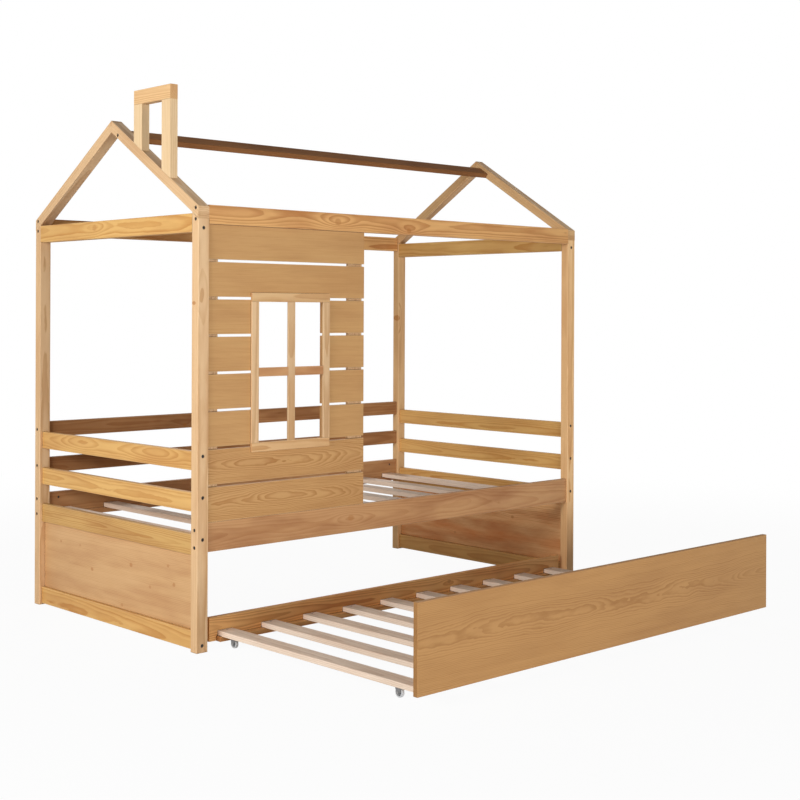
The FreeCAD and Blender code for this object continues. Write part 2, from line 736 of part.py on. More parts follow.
def make_wall():
    """Boards across the left of the front, cut short on both sides of the window, and battens."""
    left_end = f"-{POST_FACE_X}"
    window_low = f"({WINDOW_X} + casing_width)"
    window_high = f"({WINDOW_X} + window_width - casing_width)"
    spans = {"left": (left_end, window_low), "right": (window_high, WALL_END_X)}
    beside = {"left": [], "right": []}
    for number in range(1, WALL_BOARDS + 1):
        if not is_cut(number):
            node = board_piece(number, "left")
            name_node(node, make_board(node, left_end, WALL_END_X, number))
            continue
        for side, (start, stop) in spans.items():
            beside[side].append(make_board(board_piece(number, side), start, stop, number))
    for side, boards in beside.items():
        name_group(f"wall_boards_{side}_of_window", boards)
    batten_start = {"left": left_end, "right": f"{WALL_END_X} - batten_right_width"}
    for side, start in batten_start.items():
        size = (f"batten_{side}_width", "batten_thickness", WALL_HEIGHT)
        make_frame_board(f"wall_batten_{side}", (start, WALL_BACK_Y, SIDE_RAIL_TOP), size)


def make_board(name, start, stop, number):
    """One board of the wall between two places along X."""
    size = (f"{stop} - {start}", "wall_thickness", BOARD_HEIGHT)
    blank = box(name + "_blank", (start, FRONT_FACE_Y, board_lift(number)), size)
    return cut_away(eased(blank, "board_round"), HOLES.of(name))


def make_window():
    """Casing boards laid on the wall round the opening, with its halved mullion and crossbar."""
    front_y = f"{FRONT_FACE_Y} - casing_thickness"
    inner_width = "window_width - 2 * casing_width"
    inner_height = "window_height - 2 * casing_width"
    inner_z = "window_lift + casing_width"
    inner_x = f"{WINDOW_X} + casing_width"
    mullion_x = f"{WINDOW_MIDDLE_X} - casing_width / 2"
    crossbar_z = "window_lift + window_height / 2 - casing_width / 2"
    upright = ("casing_width", "casing_thickness", inner_height)
    across = ("window_width", "casing_thickness", "casing_width")
    bar = (inner_width, "casing_thickness", "casing_width")
    notch = ("casing_width", "casing_thickness / 2", "casing_width")
    half_y = f"{front_y} + casing_thickness / 2"
    mullion_notch = box("mullion_notch", (mullion_x, half_y, crossbar_z), notch)
    crossbar_notch = box("crossbar_notch", (mullion_x, front_y, crossbar_z), notch)
    HOLES.add(mullion_notch, "window_mullion")
    HOLES.add(crossbar_notch, "window_crossbar")
    strips = {
        "window_sill": ((WINDOW_X, front_y, "window_lift"), across),
        "window_head": ((WINDOW_X, front_y, "window_lift + window_height - casing_width"), across),
        "window_stile_left": ((WINDOW_X, front_y, inner_z), upright),
        "window_stile_right": ((f"{WINDOW_X} + window_width - casing_width", front_y, inner_z), upright),
        "window_mullion": ((mullion_x, front_y, inner_z), upright),
        "window_crossbar": ((inner_x, front_y, crossbar_z), bar),
    }
    for node, (corner, size) in strips.items():
        blank = box(node + "_blank", corner, size)
        name_node(node, cut_away(eased(blank, "board_round"), HOLES.of(node)))


# ---------------------------------------------------------------- chimney

def front_slope_z(y):
    """Height of the front slope's upper face above a place in front of the ridge."""
    return f"(apex_height + {SLOPE} * ({y}))"


def make_chimney():
    """Two legs that stand on the left front rafter and a cap across them."""
    cap_z = "chimney_top - chimney_stock"
    ridge_side = "-chimney_from_ridge"
    eaves_side = "-chimney_from_ridge - chimney_length"
    legs = {
        "ridge": (f"{ridge_side} - chimney_stock", ridge_side),
        "eaves": (eaves_side, f"{eaves_side} + chimney_stock"),
    }
    start_x = "-bed_length / 2"
    middle_x = f"{start_x} + chimney_thickness / 2"
    pieces = []
    for side, (low_y, high_y) in legs.items():
        middle_y = f"({low_y} + {high_y}) / 2"
        name = f"chimney_leg_{side}"
        foot = [middle_x, middle_y, front_slope_z(middle_y)]
        dowel_joint(f"{name}_foot", ("rafter_front_left", name), foot, "+Z")
        dowel_joint(f"{name}_top", ("chimney_cap", name), [middle_x, middle_y, cap_z], "+Z")
        sloped_foot = [(low_y, front_slope_z(low_y)), (high_y, front_slope_z(high_y))]
        outline = sloped_foot + [(high_y, cap_z), (low_y, cap_z)]
        blank = padded_profile(name + "_blank", outline, "chimney_thickness", start_x)
        pieces.append(cut_away(blank, HOLES.of(name)))
    name_group("chimney_legs", pieces)
    cap_size = ("chimney_thickness", "chimney_length", "chimney_stock")
    cap = box("chimney_cap_blank", (start_x, eaves_side, cap_z), cap_size)
    name_node("chimney_cap", cut_away(eased(cap), HOLES.of("chimney_cap")))


# ---------------------------------------------------------------- bed slats

def bed_slat_middle(number):
    """X of a bed slat's middle. The first and last lie by the ends, the rest at an even pitch."""
    end_x = f"({POST_FACE_X} - end_slat_inset - slat_width / 2)"
    if number == 1:
        return f"(-{end_x})"
    if number == BED_SLATS:
        return end_x
    return f"({number - (BED_SLATS + 1) / 2} * slat_pitch)"


def make_bed_slats():
    """Slats across the bed and the cleats on the side rails that carry them."""
    front_y = f"{FRONT_RAIL_INNER_Y} + slat_play"
    length = f"{BACK_RAIL_INNER_Y} - {FRONT_RAIL_INNER_Y} - 2 * slat_play"
    slats = []
    for number in range(1, BED_SLATS + 1):
        name = f"bed_slat_{number}"
        corner = (f"{bed_slat_middle(number)} - slat_width / 2", front_y, "slat_top - slat_thickness")
        blank = box(name + "_blank", corner, ("slat_width", length, "slat_thickness"))
        slats.append(cut_away(eased(blank), HOLES.of(name)))
    name_group("bed_slats", slats)
    cleat_y = {"front": FRONT_RAIL_INNER_Y, "back": f"{BACK_RAIL_INNER_Y} - cleat_depth"}
    cleat_height = "slat_top - slat_thickness - side_rail_lift"
    start_x = f"cleat_inset - {POST_FACE_X}"
    size = (f"2 * ({POST_FACE_X} - cleat_inset)", "cleat_depth", cleat_height)
    cleats = []
    for side, y in cleat_y.items():
        blank = box(f"slat_cleat_{side}_blank", (start_x, y, "side_rail_lift"), size)
        cleats.append(cut_away(eased(blank), HOLES.of(f"slat_cleat_{side}")))
    name_group("slat_cleats", cleats)


# ---------------------------------------------------------------- trundle

def trundle_slat_middle(number):
    """X of a trundle slat's middle, at an even pitch between the first and the last."""
    end_x = f"({TRUNDLE_LENGTH} / 2 - trundle_slat_inset - slat_width / 2)"
    share = (number - 1) / (TRUNDLE_SLATS - 1) * 2 - 1
    return f"({share} * {end_x})"


def make_trundle():
    """Front panel, back rail, slats and cleats of the trundle, at its pulled-out place."""
    start_x = f"-{TRUNDLE_LENGTH} / 2"
    panel_size = (TRUNDLE_LENGTH, "trundle_panel_thickness", "trundle_panel_height")
    panel = box("trundle_panel_blank", (start_x, TRUNDLE_FRONT_Y, "trundle_panel_lift"), panel_size)
    name_node("trundle_panel", eased(panel, all_edges=True))
    rail_size = (TRUNDLE_LENGTH, "trundle_rail_thickness", "trundle_rail_height")
    rail_corner = (start_x, TRUNDLE_RAIL_INNER_Y, "trundle_rail_lift")
    rail = box("trundle_back_rail_blank", rail_corner, rail_size)
    name_node("trundle_back_rail", eased(rail, all_edges=True))
    cleat_length = f"{TRUNDLE_LENGTH} - 2 * trundle_cleat_inset"
    cleat_x = f"{start_x} + trundle_cleat_inset"
    cleats = {
        "front": ((cleat_x, TRUNDLE_PANEL_INNER_Y, TRUNDLE_SLAT_TOP), "trundle_cleat_height"),
        "back": ((cleat_x, f"{TRUNDLE_RAIL_INNER_Y} - trundle_cleat_depth", "trundle_rail_lift"),
                 "caster_height - trundle_rail_lift"),
    }
    pieces = []
    for side, (corner, height) in cleats.items():
        blank = box(f"trundle_cleat_{side}_blank", corner, (cleat_length, "trundle_cleat_depth", height))
        pieces.append(cut_away(eased(blank), HOLES.of(f"trundle_cleat_{side}")))
    name_group("trundle_cleats", pieces)
    front_y = f"{TRUNDLE_PANEL_INNER_Y} + trundle_slat_play"
    length = f"{TRUNDLE_RAIL_INNER_Y} - {TRUNDLE_PANEL_INNER_Y} - 2 * trundle_slat_play"
    slats = []
    for number in range(1, TRUNDLE_SLATS + 1):
        name = f"trundle_slat_{number}"
        corner = (f"{trundle_slat_middle(number)} - slat_width / 2", front_y, "caster_height")
        blank = box(name + "_blank", corner, ("slat_width", length, "trundle_slat_thickness"))
        slats.append(cut_away(eased(blank), HOLES.of(name)))
    name_group("trundle_slats", slats)


# ---------------------------------------------------------------- casters

CASTER_X = {
    "left": f"(caster_end_inset - {TRUNDLE_LENGTH} / 2)",
    "right": f"({TRUNDLE_LENGTH} / 2 - caster_end_inset)",
}
CASTER_Y = {
    "front": f"({TRUNDLE_FRONT_Y} + caster_front_setback)",
    "back": f"({TRUNDLE_BACK_Y} - caster_back_setback)",
}
CASTER_SLAT = {"left": "trundle_slat_1", "right": f"trundle_slat_{TRUNDLE_SLATS}"}


def caster_places():
    """Name and place of each caster."""
    return [(f"{side}_{end}", end, CASTER_X[end], CASTER_Y[side]) for side in SIDES for end in ENDS]


def drill_casters():
    """Four screws up through each caster's plate into the end slat over it."""
    across = "(plate_length / 2 - plate_hole_inset)"
    forward = "(plate_depth / 2 - plate_hole_inset)"
    for name, end, x, y in caster_places():
        for number, (sign_x, sign_y) in enumerate(((-1, -1), (1, -1), (-1, 1), (1, 1)), start=1):
            screw_x = f"{x} + {sign_x} * {across}"
            screw_y = f"{y} + {sign_y} * {forward}"
            start = [screw_x, screw_y, "caster_height - plate_thickness"]
            length = "plate_thickness + caster_screw_bite + screw_hole_end"
            hole = rod(f"caster_screw_{name}_{number}", start, "+Z", "screw_hole_radius", length)
            HOLES.add(hole, f"caster_fork_{name}", CASTER_SLAT[end])
            TRUNDLE_SCREW_HOLES.append(hole)


def make_cheek(name, x, y, start_x):
    """A tapered fork cheek with a round foot about the axle."""
    half_top = "cheek_top_depth / 2"
    top_z = "caster_height - plate_thickness"
    outline = [(f"{y} - {half_top}", top_z), (f"{y} - cheek_foot_radius", "wheel_radius"),
               (f"{y} + cheek_foot_radius", "wheel_radius"), (f"{y} + {half_top}", top_z)]
    web = padded_profile(name + "_web", outline, "cheek_thickness", f"{x} + {start_x}")
    middle = [f"{x} + {start_x}", y, "wheel_radius"]
    foot = rod(name + "_foot", middle, "+X", "cheek_foot_radius", "cheek_thickness")
    return [web, foot]


def make_forks():
    """Caster forks: a plate with two cheeks, one solid each."""
    forks = []
    for name, end, x, y in caster_places():
        corner = (f"{x} - plate_length / 2", f"{y} - plate_depth / 2", "caster_height - plate_thickness")
        parts = [box(f"caster_plate_{name}", corner, ("plate_length", "plate_depth", "plate_thickness"))]
        parts += make_cheek(f"cheek_outer_{name}", x, y, f"(-{CHEEK_INNER_X} - cheek_thickness)")
        parts += make_cheek(f"cheek_inner_{name}", x, y, CHEEK_INNER_X)
        fork = DOC.addObject("Part::MultiFuse", f"caster_fork_{name}_blank")
        fork.Shapes = parts
        half = f"({CHEEK_INNER_X} + cheek_thickness + axle_head_height)"
        bore_start = [f"{x} - {half}", y, "wheel_radius"]
        bore = rod(f"fork_bore_{name}", bore_start, "+X", AXLE_HOLE_RADIUS, f"2 * {half}")
        forks.append(cut_away(fork, [bore] + HOLES.of(f"caster_fork_{name}")))
    name_group("caster_forks", forks)


def make_axles():
    """A riveted axle through each fork."""
    half = f"({CHEEK_INNER_X} + cheek_thickness)"
    axles = []
    for name, end, x, y in caster_places():
        shaft_start = [f"{x} - {half}", y, "wheel_radius"]
        left_start = [f"{x} - {half} - axle_head_height", y, "wheel_radius"]
        right_start = [f"{x} + {half}", y, "wheel_radius"]
        parts = [
            rod(f"axle_shaft_{name}", shaft_start, "+X", "axle_radius", f"2 * {half}"),
            rod(f"axle_head_{name}_left", left_start, "+X", "axle_head_radius", "axle_head_height"),
            rod(f"axle_head_{name}_right", right_start, "+X", "axle_head_radius", "axle_head_height"),
        ]
        axle = DOC.addObject("Part::MultiFuse", f"caster_axle_{name}")
        axle.Shapes = parts
        axles.append(axle)
    name_group("caster_axles", axles)


def make_wheels():
    """Wheels turned from one outline: tread, sunk web and hub with a bore for the axle."""
    tread = "wheel_radius"
    rim = "(wheel_radius - rim_depth)"
    half_outline = [
        ("hub_half_width", AXLE_HOLE_RADIUS), ("hub_half_width", "hub_radius"),
        ("web_half_width", "hub_radius"), ("web_half_width", rim),
        ("wheel_half_width", rim), ("wheel_half_width", f"{tread} - wheel_chamfer"),
        ("wheel_half_width - wheel_chamfer", tread),
    ]
    outline = half_outline + [(f"-({across})", up) for across, up in reversed(half_outline)]
    for name, end, x, y in caster_places():
        node = f"caster_wheel_{name}"
        body = DOC.addObject("PartDesign::Body", node + "_body")
        sketch = closed_sketch(body, node + "_outline", "XY_Plane", outline)
        turned = body.newObject("PartDesign::Revolution", node + "_turned")
        turned.Profile = sketch
        turned.ReferenceAxis = (sketch, ["H_Axis"])
        turned.Angle = 360.0
        body.Label = node
        bind_base(body, x, f"{y} + {FRAME_SHIFT}", "wheel_radius")
        NODES[node] = body


# ---------------------------------------------------------------- groups of fasteners

def cylinder_between(radius, low, high):
    """A cylinder on the Z axis between two heights."""
    return Part.makeCylinder(radius, high - low, Vector(0, 0, low))


def bolt_shape(depth):
    """A bolt with a hexagon socket, laid in a hole of the given depth."""
    seat = SIZES["bolt_seat_depth"]
    head_start = seat - SIZES["bolt_head_height"]
    head = cylinder_between(SIZES["bolt_head_radius"], head_start, seat)
    shank = cylinder_between(SIZES["bolt_shank_radius"], seat, depth - SIZES["bolt_tip"] / 2)
    radius = SIZES["bolt_socket_radius"]
    angles = [2 * pi * i / SOCKET_SIDES for i in range(SOCKET_SIDES + 1)]
    corners = [Vector(radius * cos(angle), radius * sin(angle), head_start) for angle in angles]
    socket = Part.Face(Part.makePolygon(corners)).extrude(Vector(0, 0, SIZES["bolt_socket_depth"]))
    return head.fuse(shank).cut(socket).removeSplitter()


def nut_shape(depth):
    """A barrel nut, laid at the bottom of a hole of the given depth, with its bore along X."""
    length = SIZES["nut_length"]
    start = depth - SIZES["nut_hole_end"] - length
    barrel = cylinder_between(SIZES["nut_radius"], start, start + length)
    bore_start = Vector(-SIZES["nut_radius"], 0, start + length / 2)
    bore_length = 2 * SIZES["nut_radius"]
    bore = Part.makeCylinder(SIZES["nut_bore_radius"], bore_length, bore_start, Vector(1, 0, 0))
    return barrel.cut(bore)


def dowel_shape(depth):
    """A dowel with the same play at both ends of a hole of the given depth."""
    end = SIZES["dowel_hole_end"]
    return cylinder_between(SIZES["dowel_radius"], end, depth - end)


def beam_dowel_shape(depth):
    """The thinner dowel that keeps the ridge beam from turning."""
    end = SIZES["dowel_hole_end"]
    return cylinder_between(SIZES["beam_dowel_radius"], end, depth - end)


def screw_shape(depth):
    """A countersunk screw with its head at the mouth of a hole of the given depth."""
    seat = SIZES["screw_seat_depth"]
    head = Part.makeCone(SIZES["screw_head_radius"], SIZES["screw_shank_radius"], seat)
    shank = cylinder_between(SIZES["screw_shank_radius"], seat, depth - SIZES["screw_hole_end"])
    return head.fuse(shank).removeSplitter()


def plain_screw_shape(depth):
    """A headless stretch of screw for holes that have no seat."""
    return cylinder_between(SIZES["screw_shank_radius"], 0, depth - SIZES["screw_hole_end"])


def laid_in(holes, make_shape):
    """One shape per hole, laid where the drilled hole is."""
    shapes = []
    for hole in holes:
        shape = make_shape(hole.Height.Value)
        shape.Placement = hole.Placement
        shapes.append(shape)
    return shapes


def name_fasteners(node, shapes):
    """Store a group of like fasteners as one named object."""
    group = DOC.addObject("Part::Feature", node)
    group.Shape = Part.makeCompound(shapes)
    name_node(node, group)


def make_fasteners():
    """Bolts, barrel nuts, dowels and screws, laid in the holes that the pieces were drilled with."""
    name_fasteners("frame_bolts", laid_in(BOLT_HOLES, bolt_shape))
    name_fasteners("barrel_nuts", laid_in(NUT_HOLES, nut_shape))
    dowels = laid_in(DOWEL_HOLES, dowel_shape) + laid_in(BEAM_DOWEL_HOLES, beam_dowel_shape)
    name_fasteners("dowels", dowels)
    name_fasteners("bed_screws", laid_in(BED_SCREW_HOLES, screw_shape))
    seated = [hole for hole in TRUNDLE_SCREW_HOLES if hole.Name.startswith("trundle_slat")]
    plain = [hole for hole in TRUNDLE_SCREW_HOLES if hole not in seated]
    name_fasteners("trundle_screws", laid_in(seated, screw_shape) + laid_in(plain, plain_screw_shape))


# ---------------------------------------------------------------- checks and files

def check_document():
    """Stop if any object failed or any named piece has no sound shape."""
    for thing in DOC.Objects:
        if "Invalid" in thing.State or "Error" in thing.State:
            raise RuntimeError(f"{thing.Name} failed: {thing.State}")
    for node, piece in NODES.items():
        shape = piece.Shape
        if shape.isNull() or not shape.isValid() or not shape.Solids:
            raise RuntimeError(f"{node} has no sound shape")


def check_drilled():
    """Stop if a cut took nothing away."""
    for thing in DOC.Objects:
        if thing.TypeId == "Part::Cut" and thing.Shape.Volume >= thing.Base.Shape.Volume:
            raise RuntimeError(f"{thing.Name} cut nothing")


def main():
    make_sheet()
    drill_end_frames()
    drill_long_rails()
    drill_ridge()
    drill_wall()
    drill_bed_slats()
    drill_trundle_slats()
    drill_casters()
    make_chimney()
    make_posts()
    make_rafters()
    make_ridge_beam()
    make_long_rails()
    make_end_frames()
    make_wall()
    make_window()
    make_bed_slats()
    make_trundle()
    make_forks()
    make_axles()
    make_wheels()
    DOC.recompute()
    make_fasteners()
    DOC.recompute()
    check_document()
    check_drilled()
    os.makedirs("parts", exist_ok=True)
    for node, piece in NODES.items():
        piece.Shape.exportStep(f"parts/{node}.step")
    print(len(NODES), "pieces written")


main()
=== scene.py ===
"""Looks of a house-shaped bed with a board wall, a chimney and a roll-out trundle.

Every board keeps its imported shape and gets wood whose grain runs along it. The casters are built
here in more detail than their packed stand-ins. Metres; X runs along the bed, the front faces -Y.
"""
import random
from math import atan2, cos, radians, sin, tau

import bmesh
import bpy
from bpy.props import FloatProperty, FloatVectorProperty, IntProperty, PointerProperty
from mathutils import Euler, Matrix, Vector


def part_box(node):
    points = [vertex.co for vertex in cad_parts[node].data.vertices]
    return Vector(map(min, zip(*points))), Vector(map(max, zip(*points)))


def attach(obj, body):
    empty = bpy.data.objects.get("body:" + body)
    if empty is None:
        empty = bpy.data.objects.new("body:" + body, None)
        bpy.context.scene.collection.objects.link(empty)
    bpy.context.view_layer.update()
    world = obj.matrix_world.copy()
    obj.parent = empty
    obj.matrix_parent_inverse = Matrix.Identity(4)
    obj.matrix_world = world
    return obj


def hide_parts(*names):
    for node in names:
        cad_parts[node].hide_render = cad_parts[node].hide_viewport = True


bl_info = {
    "name": "House Bed",
    "version": (1, 0, 0),
    "blender": (4, 5, 0),
    "location": "3D View > Sidebar > House Bed",
    "description": "Wood, fasteners, casters and studio for a house-shaped bed with a trundle",
    "category": "Object",
}

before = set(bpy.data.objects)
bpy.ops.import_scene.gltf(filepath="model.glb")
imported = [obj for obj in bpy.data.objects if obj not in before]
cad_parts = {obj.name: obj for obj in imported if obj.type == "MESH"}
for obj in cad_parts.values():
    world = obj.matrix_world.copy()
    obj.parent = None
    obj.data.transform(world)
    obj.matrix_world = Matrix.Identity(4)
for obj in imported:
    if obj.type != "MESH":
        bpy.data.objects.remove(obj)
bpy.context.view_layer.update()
ENDS = ("left", "right")
SIDES = ("front", "back")


# ---------------------------------------------------------------- settings

def colour(name, description, value):
    """A colour that a user can change."""
    return FloatVectorProperty(name=name, description=description, subtype="COLOR", size=4,
                               min=0, max=1, default=(*value, 1))


def length(name, description, value):
    """A length in metres that a user can change."""
    return FloatProperty(name=name, description=description, subtype="DISTANCE", unit="LENGTH",
                         default=value, precision=5)


def share(name, description, value):
    """A share from none to all that a user can change."""
    return FloatProperty(name=name, description=description, subtype="FACTOR", min=0, max=1,
                         default=value)


class HouseBedWood(bpy.types.PropertyGroup):
    """Colours and grain of the bed's woods."""
    post_light: colour("Post Pine", "Early wood of the left posts", (0.74, 0.505, 0.285))
    post_dark: colour("Post Grain", "Late wood of the left posts", (0.53, 0.285, 0.118))
    warm_light: colour("Warm Pine", "Early wood of the redder posts", (0.745, 0.485, 0.242))
    warm_dark: colour("Warm Grain", "Late wood of the redder posts", (0.53, 0.262, 0.092))
    ridge_light: colour("Ridge Pine", "Early wood of the ridge beam", (0.30, 0.135, 0.05))
    ridge_dark: colour("Ridge Grain", "Late wood of the ridge beam", (0.21, 0.075, 0.022))
    chimney_light: colour("Chimney Pine", "Early wood of the chimney legs", (0.80, 0.59, 0.35))
    chimney_dark: colour("Chimney Grain", "Late wood of the chimney legs", (0.60, 0.36, 0.16))
    rail_light: colour("Top Rail Pine", "Early wood of the long top rails", (0.76, 0.43, 0.165))
    rail_dark: colour("Top Rail Grain", "Late wood of the long top rails", (0.44, 0.155, 0.035))
    end_light: colour("End Rail Pine", "Early wood of the rails of the ends", (0.73, 0.44, 0.15))
    end_dark: colour("End Rail Grain", "Late wood of the rails of the ends", (0.50, 0.21, 0.042))
    side_light: colour("Side Rail Pine", "Early wood of the side rails", (0.58, 0.32, 0.145))
    side_dark: colour("Side Rail Grain", "Late wood of the side rails", (0.40, 0.165, 0.055))
    # The back guards' colours are darker partly as painted shade, for the shade behind the wall and
    # under the slats, and partly as a redder plank
    inner_light: colour("Inner Rail Pine", "Early wood of the back guards", (0.43, 0.215, 0.09))
    inner_dark: colour("Inner Rail Grain", "Late wood of the back guards", (0.29, 0.115, 0.038))
    wall_light: colour("Wall Veneer", "Ground of the wall boards", (0.59, 0.338, 0.136))
    wall_dark: colour("Wall Grain", "Grain of the wall boards", (0.42, 0.195, 0.06))
    front_light: colour("Trundle Veneer", "Ground of the trundle's front", (0.465, 0.25, 0.09))
    front_dark: colour("Trundle Veneer Grain", "Grain of the trundle's front", (0.33, 0.155, 0.048))
    panel_light: colour("Panel Pine", "Early wood of the end panels", (0.67, 0.41, 0.195))
    panel_dark: colour("Panel Grain", "Late wood of the end panels", (0.50, 0.245, 0.09))
    slat_light: colour("Bare Slat", "Early wood of the unfinished slats", (0.93, 0.78, 0.64))
    slat_dark: colour("Bare Slat Grain", "Late wood of the unfinished slats", (0.68, 0.50, 0.37))
    # The rubbed edge colour is partly sanded wear and partly a painted highlight on the eased edges
    edge_pale_highlight: colour("Rubbed Edge", "Rubbed edges of the boards", (0.83, 0.62, 0.38))
    edge_dark: colour("Trundle Edge", "Stained edges of the trundle front", (0.40, 0.19, 0.09))
    knot: colour("Knot", "Heart of a knot", (0.42, 0.15, 0.03))
    gap: colour("Gap", "Shade in holes and between boards", (0.05, 0.026, 0.013))
    dowel_light: colour("Dowel Beech", "Early wood of the dowels", (0.70, 0.52, 0.34))
    dowel_dark: colour("Dowel Grain", "Late wood of the dowels", (0.52, 0.34, 0.2))
    ring_width: length("Ring Width", "Distance between two rings of the pine", 0.0052)
    veneer_ring_width: length("Veneer Ring Width", "Distance between the veneer's rings", 0.0042)
    roughness: share("Roughness", "Roughness of the satin lacquer", 0.48)
    bare_roughness: share("Bare Roughness", "Roughness of the unfinished wood", 0.72)
    coat: share("Lacquer", "Weight of the clear lacquer over the wood", 0.05)


class HouseBedCasters(bpy.types.PropertyGroup):
    """Sizes and colours of the casters and fasteners."""
    sheet_grey: colour("Fork Grey", "Plating of the caster forks", (0.20, 0.20, 0.205))
    wheel_grey: colour("Wheel Grey", "Plastic of the wheels", (0.52, 0.53, 0.54))
    zinc: colour("Zinc", "Plating of the screws and axles", (0.30, 0.29, 0.28))
    bolt_grey: colour("Bolt Grey", "Plating of the bolts and barrel nuts", (0.07, 0.065, 0.06))
    # The socket colour is painted shade in the bolts' sockets and slots, not dirt
    socket_shade: colour("Socket Shade", "Dirt in the bolts' sockets and slots", (0.02, 0.015, 0.012))
    plate_length: length("Plate Length", "Length of a caster's plate along X", 0.038)
    plate_depth: length("Plate Depth", "Length of a caster's plate along Y", 0.032)
    plate_corner: length("Plate Corner", "Corner radius of a caster's plate", 0.004)
    sheet: length("Sheet", "Thickness of the fork's cheeks and plate", 0.0022)
    cheek_inside: length("Cheek Inside", "From the wheel's middle to a cheek", 0.0065)
    cheek_top: length("Cheek Top", "Depth of a cheek at the plate", 0.027)
    cheek_foot: length("Cheek Foot", "Radius of a cheek about the axle", 0.0075)
    wheel_radius: length("Wheel Radius", "Radius of the tread", 0.015)
    wheel_half_width: length("Wheel Half Width", "Half the width of the tread", 0.0055)
    hub_radius: length("Hub Radius", "Radius of the hub", 0.0055)
    hub_half_width: length("Hub Half Width", "Half the width of the hub", 0.0062)
    bore_radius: length("Bore Radius", "Radius of the hub's bore", 0.00255)
    spokes: IntProperty(name="Spokes", description="Ribs on each side of a wheel", default=6, min=0)


class HouseBedCamera(bpy.types.PropertyGroup):
    """Where the photograph was taken from."""
    place: FloatVectorProperty(name="Camera Place", description="Middle of the lens", size=3,
                               subtype="TRANSLATION", unit="LENGTH",
                               default=(-3.7548, -3.7711, 1.1411))
    turn: FloatProperty(name="Camera Turn", description="Turn from +Y towards +X",
                        subtype="ANGLE", default=radians(41.781))
    roll: FloatProperty(name="Camera Roll", description="Tilt of the picture", subtype="ANGLE",
                        default=0.004)
    lens: FloatProperty(name="Lens", description="Focal length for a 36 mm wide picture",
                        subtype="DISTANCE_CAMERA", default=62.34)
    shift: FloatVectorProperty(name="Shift", description="Framing shift in picture widths",
                               size=2, default=(0.0930, -0.1105))


class HouseBedStage(bpy.types.PropertyGroup):
    """The floor and the studio lights."""
    floor: colour("Floor", "Colour of the studio floor", (0.72, 0.72, 0.72))
    front_light: FloatProperty(name="Front Light", description="Power of the front softbox",
                               unit="POWER", default=165, min=0)
    side_light: FloatProperty(name="Side Light", description="Power of the left softbox",
                              unit="POWER", default=190, min=0)
    back_light: FloatProperty(name="Back Light", description="Power of the softbox behind the bed",
                              unit="POWER", default=150, min=0)
    softbox_width: length("Softbox Width", "Width of each softbox", 2.4)
    softbox_height: length("Softbox Height", "Height of each softbox", 1.2)
    room_light: FloatProperty(name="Room Light", description="Strength of the room at eye level",
                              default=0.12, min=0)
    ceiling_light: FloatProperty(name="Ceiling Light", description="Strength of the room overhead",
                                 default=0.1, min=0)
    floor_glow: share("Floor White", "Share of white in the floor as the camera sees it", 0.95)
    clear_start: length("Clear Start", "Distance at which the floor starts to turn white", 2.2)
    clear_end: length("Clear End", "Distance from which the floor is plain white", 5.0)


# Where the softboxes stand, by the name of their power, and the point that they face
SOFTBOXES = {
    "front_light": (-0.8, -5.4, 0.75),
    "side_light": (-5.3, -0.7, 2.0),
    "back_light": (3.2, 4.6, 2.0),
}
LIGHT_TARGET = Vector((0.0, 0.0, 0.85))

SETTINGS = {
    "wood": HouseBedWood,
    "casters": HouseBedCasters,
    "camera": HouseBedCamera,
    "stage": HouseBedStage,
}


def settings(group):
    """The current values of one group of settings."""
    return getattr(bpy.context.scene, "house_bed_" + group)


# ---------------------------------------------------------------- node trees

class Tree:
    """Adds shader nodes to a tree and joins them."""

    def __init__(self, tree):
        self.tree = tree

    def node(self, kind, inputs=None, **options):
        """A node with its options set and its inputs joined or filled in."""
        made = self.tree.nodes.new("ShaderNode" + kind)
        for name, value in options.items():
            setattr(made, name, value)
        for name, value in (inputs or {}).items():
            self.put(made.inputs[name], value)
        return made

    def put(self, socket, value):
        """Join a socket to another, or give it a plain value."""
        if isinstance(value, bpy.types.NodeSocket):
            self.tree.links.new(value, socket)
        else:
            socket.default_value = value

    def math(self, operation, a, b=0.0, c=0.0, clamp=False):
        """One step of arithmetic."""
        made = self.node("Math", {0: a, 1: b, 2: c}, operation=operation, use_clamp=clamp)
        return made.outputs[0]

    def vector(self, operation, a, b=(0, 0, 0)):
        """One step of vector arithmetic."""
        made = self.node("VectorMath", {0: a, 1: b}, operation=operation)
        return made.outputs["Value" if operation in ("LENGTH", "DOT_PRODUCT") else "Vector"]

    def scaled(self, a, factors):
        """A vector times three plain factors."""
        return self.vector("MULTIPLY", a, factors)

    def split(self, vector):
        """The three parts of a vector."""
        return self.node("SeparateXYZ", {0: vector}).outputs

    def join(self, x, y, z):
        """A vector from three parts."""
        return self.node("CombineXYZ", {0: x, 1: y, 2: z}).outputs[0]

    def mix(self, factor, a, b, blend="MIX"):
        """Two colours mixed."""
        made = self.node("Mix", data_type="RGBA", blend_type=blend)
        self.put(made.inputs[0], factor)
        self.put(made.inputs[6], a)
        self.put(made.inputs[7], b)
        return made.outputs[2]

    def smooth(self, value, low, high, to_low=0.0, to_high=1.0):
        """A soft step between two values."""
        return self.node("MapRange", {0: value, 1: low, 2: high, 3: to_low, 4: to_high},
                         interpolation_type="SMOOTHSTEP").outputs[0]

    def noise(self, vector, scale=1.0, detail=2.0, roughness=0.5):
        """A noise texture."""
        return self.node("TexNoise", {"Vector": vector, "Scale": scale, "Detail": detail,
                                      "Roughness": roughness})


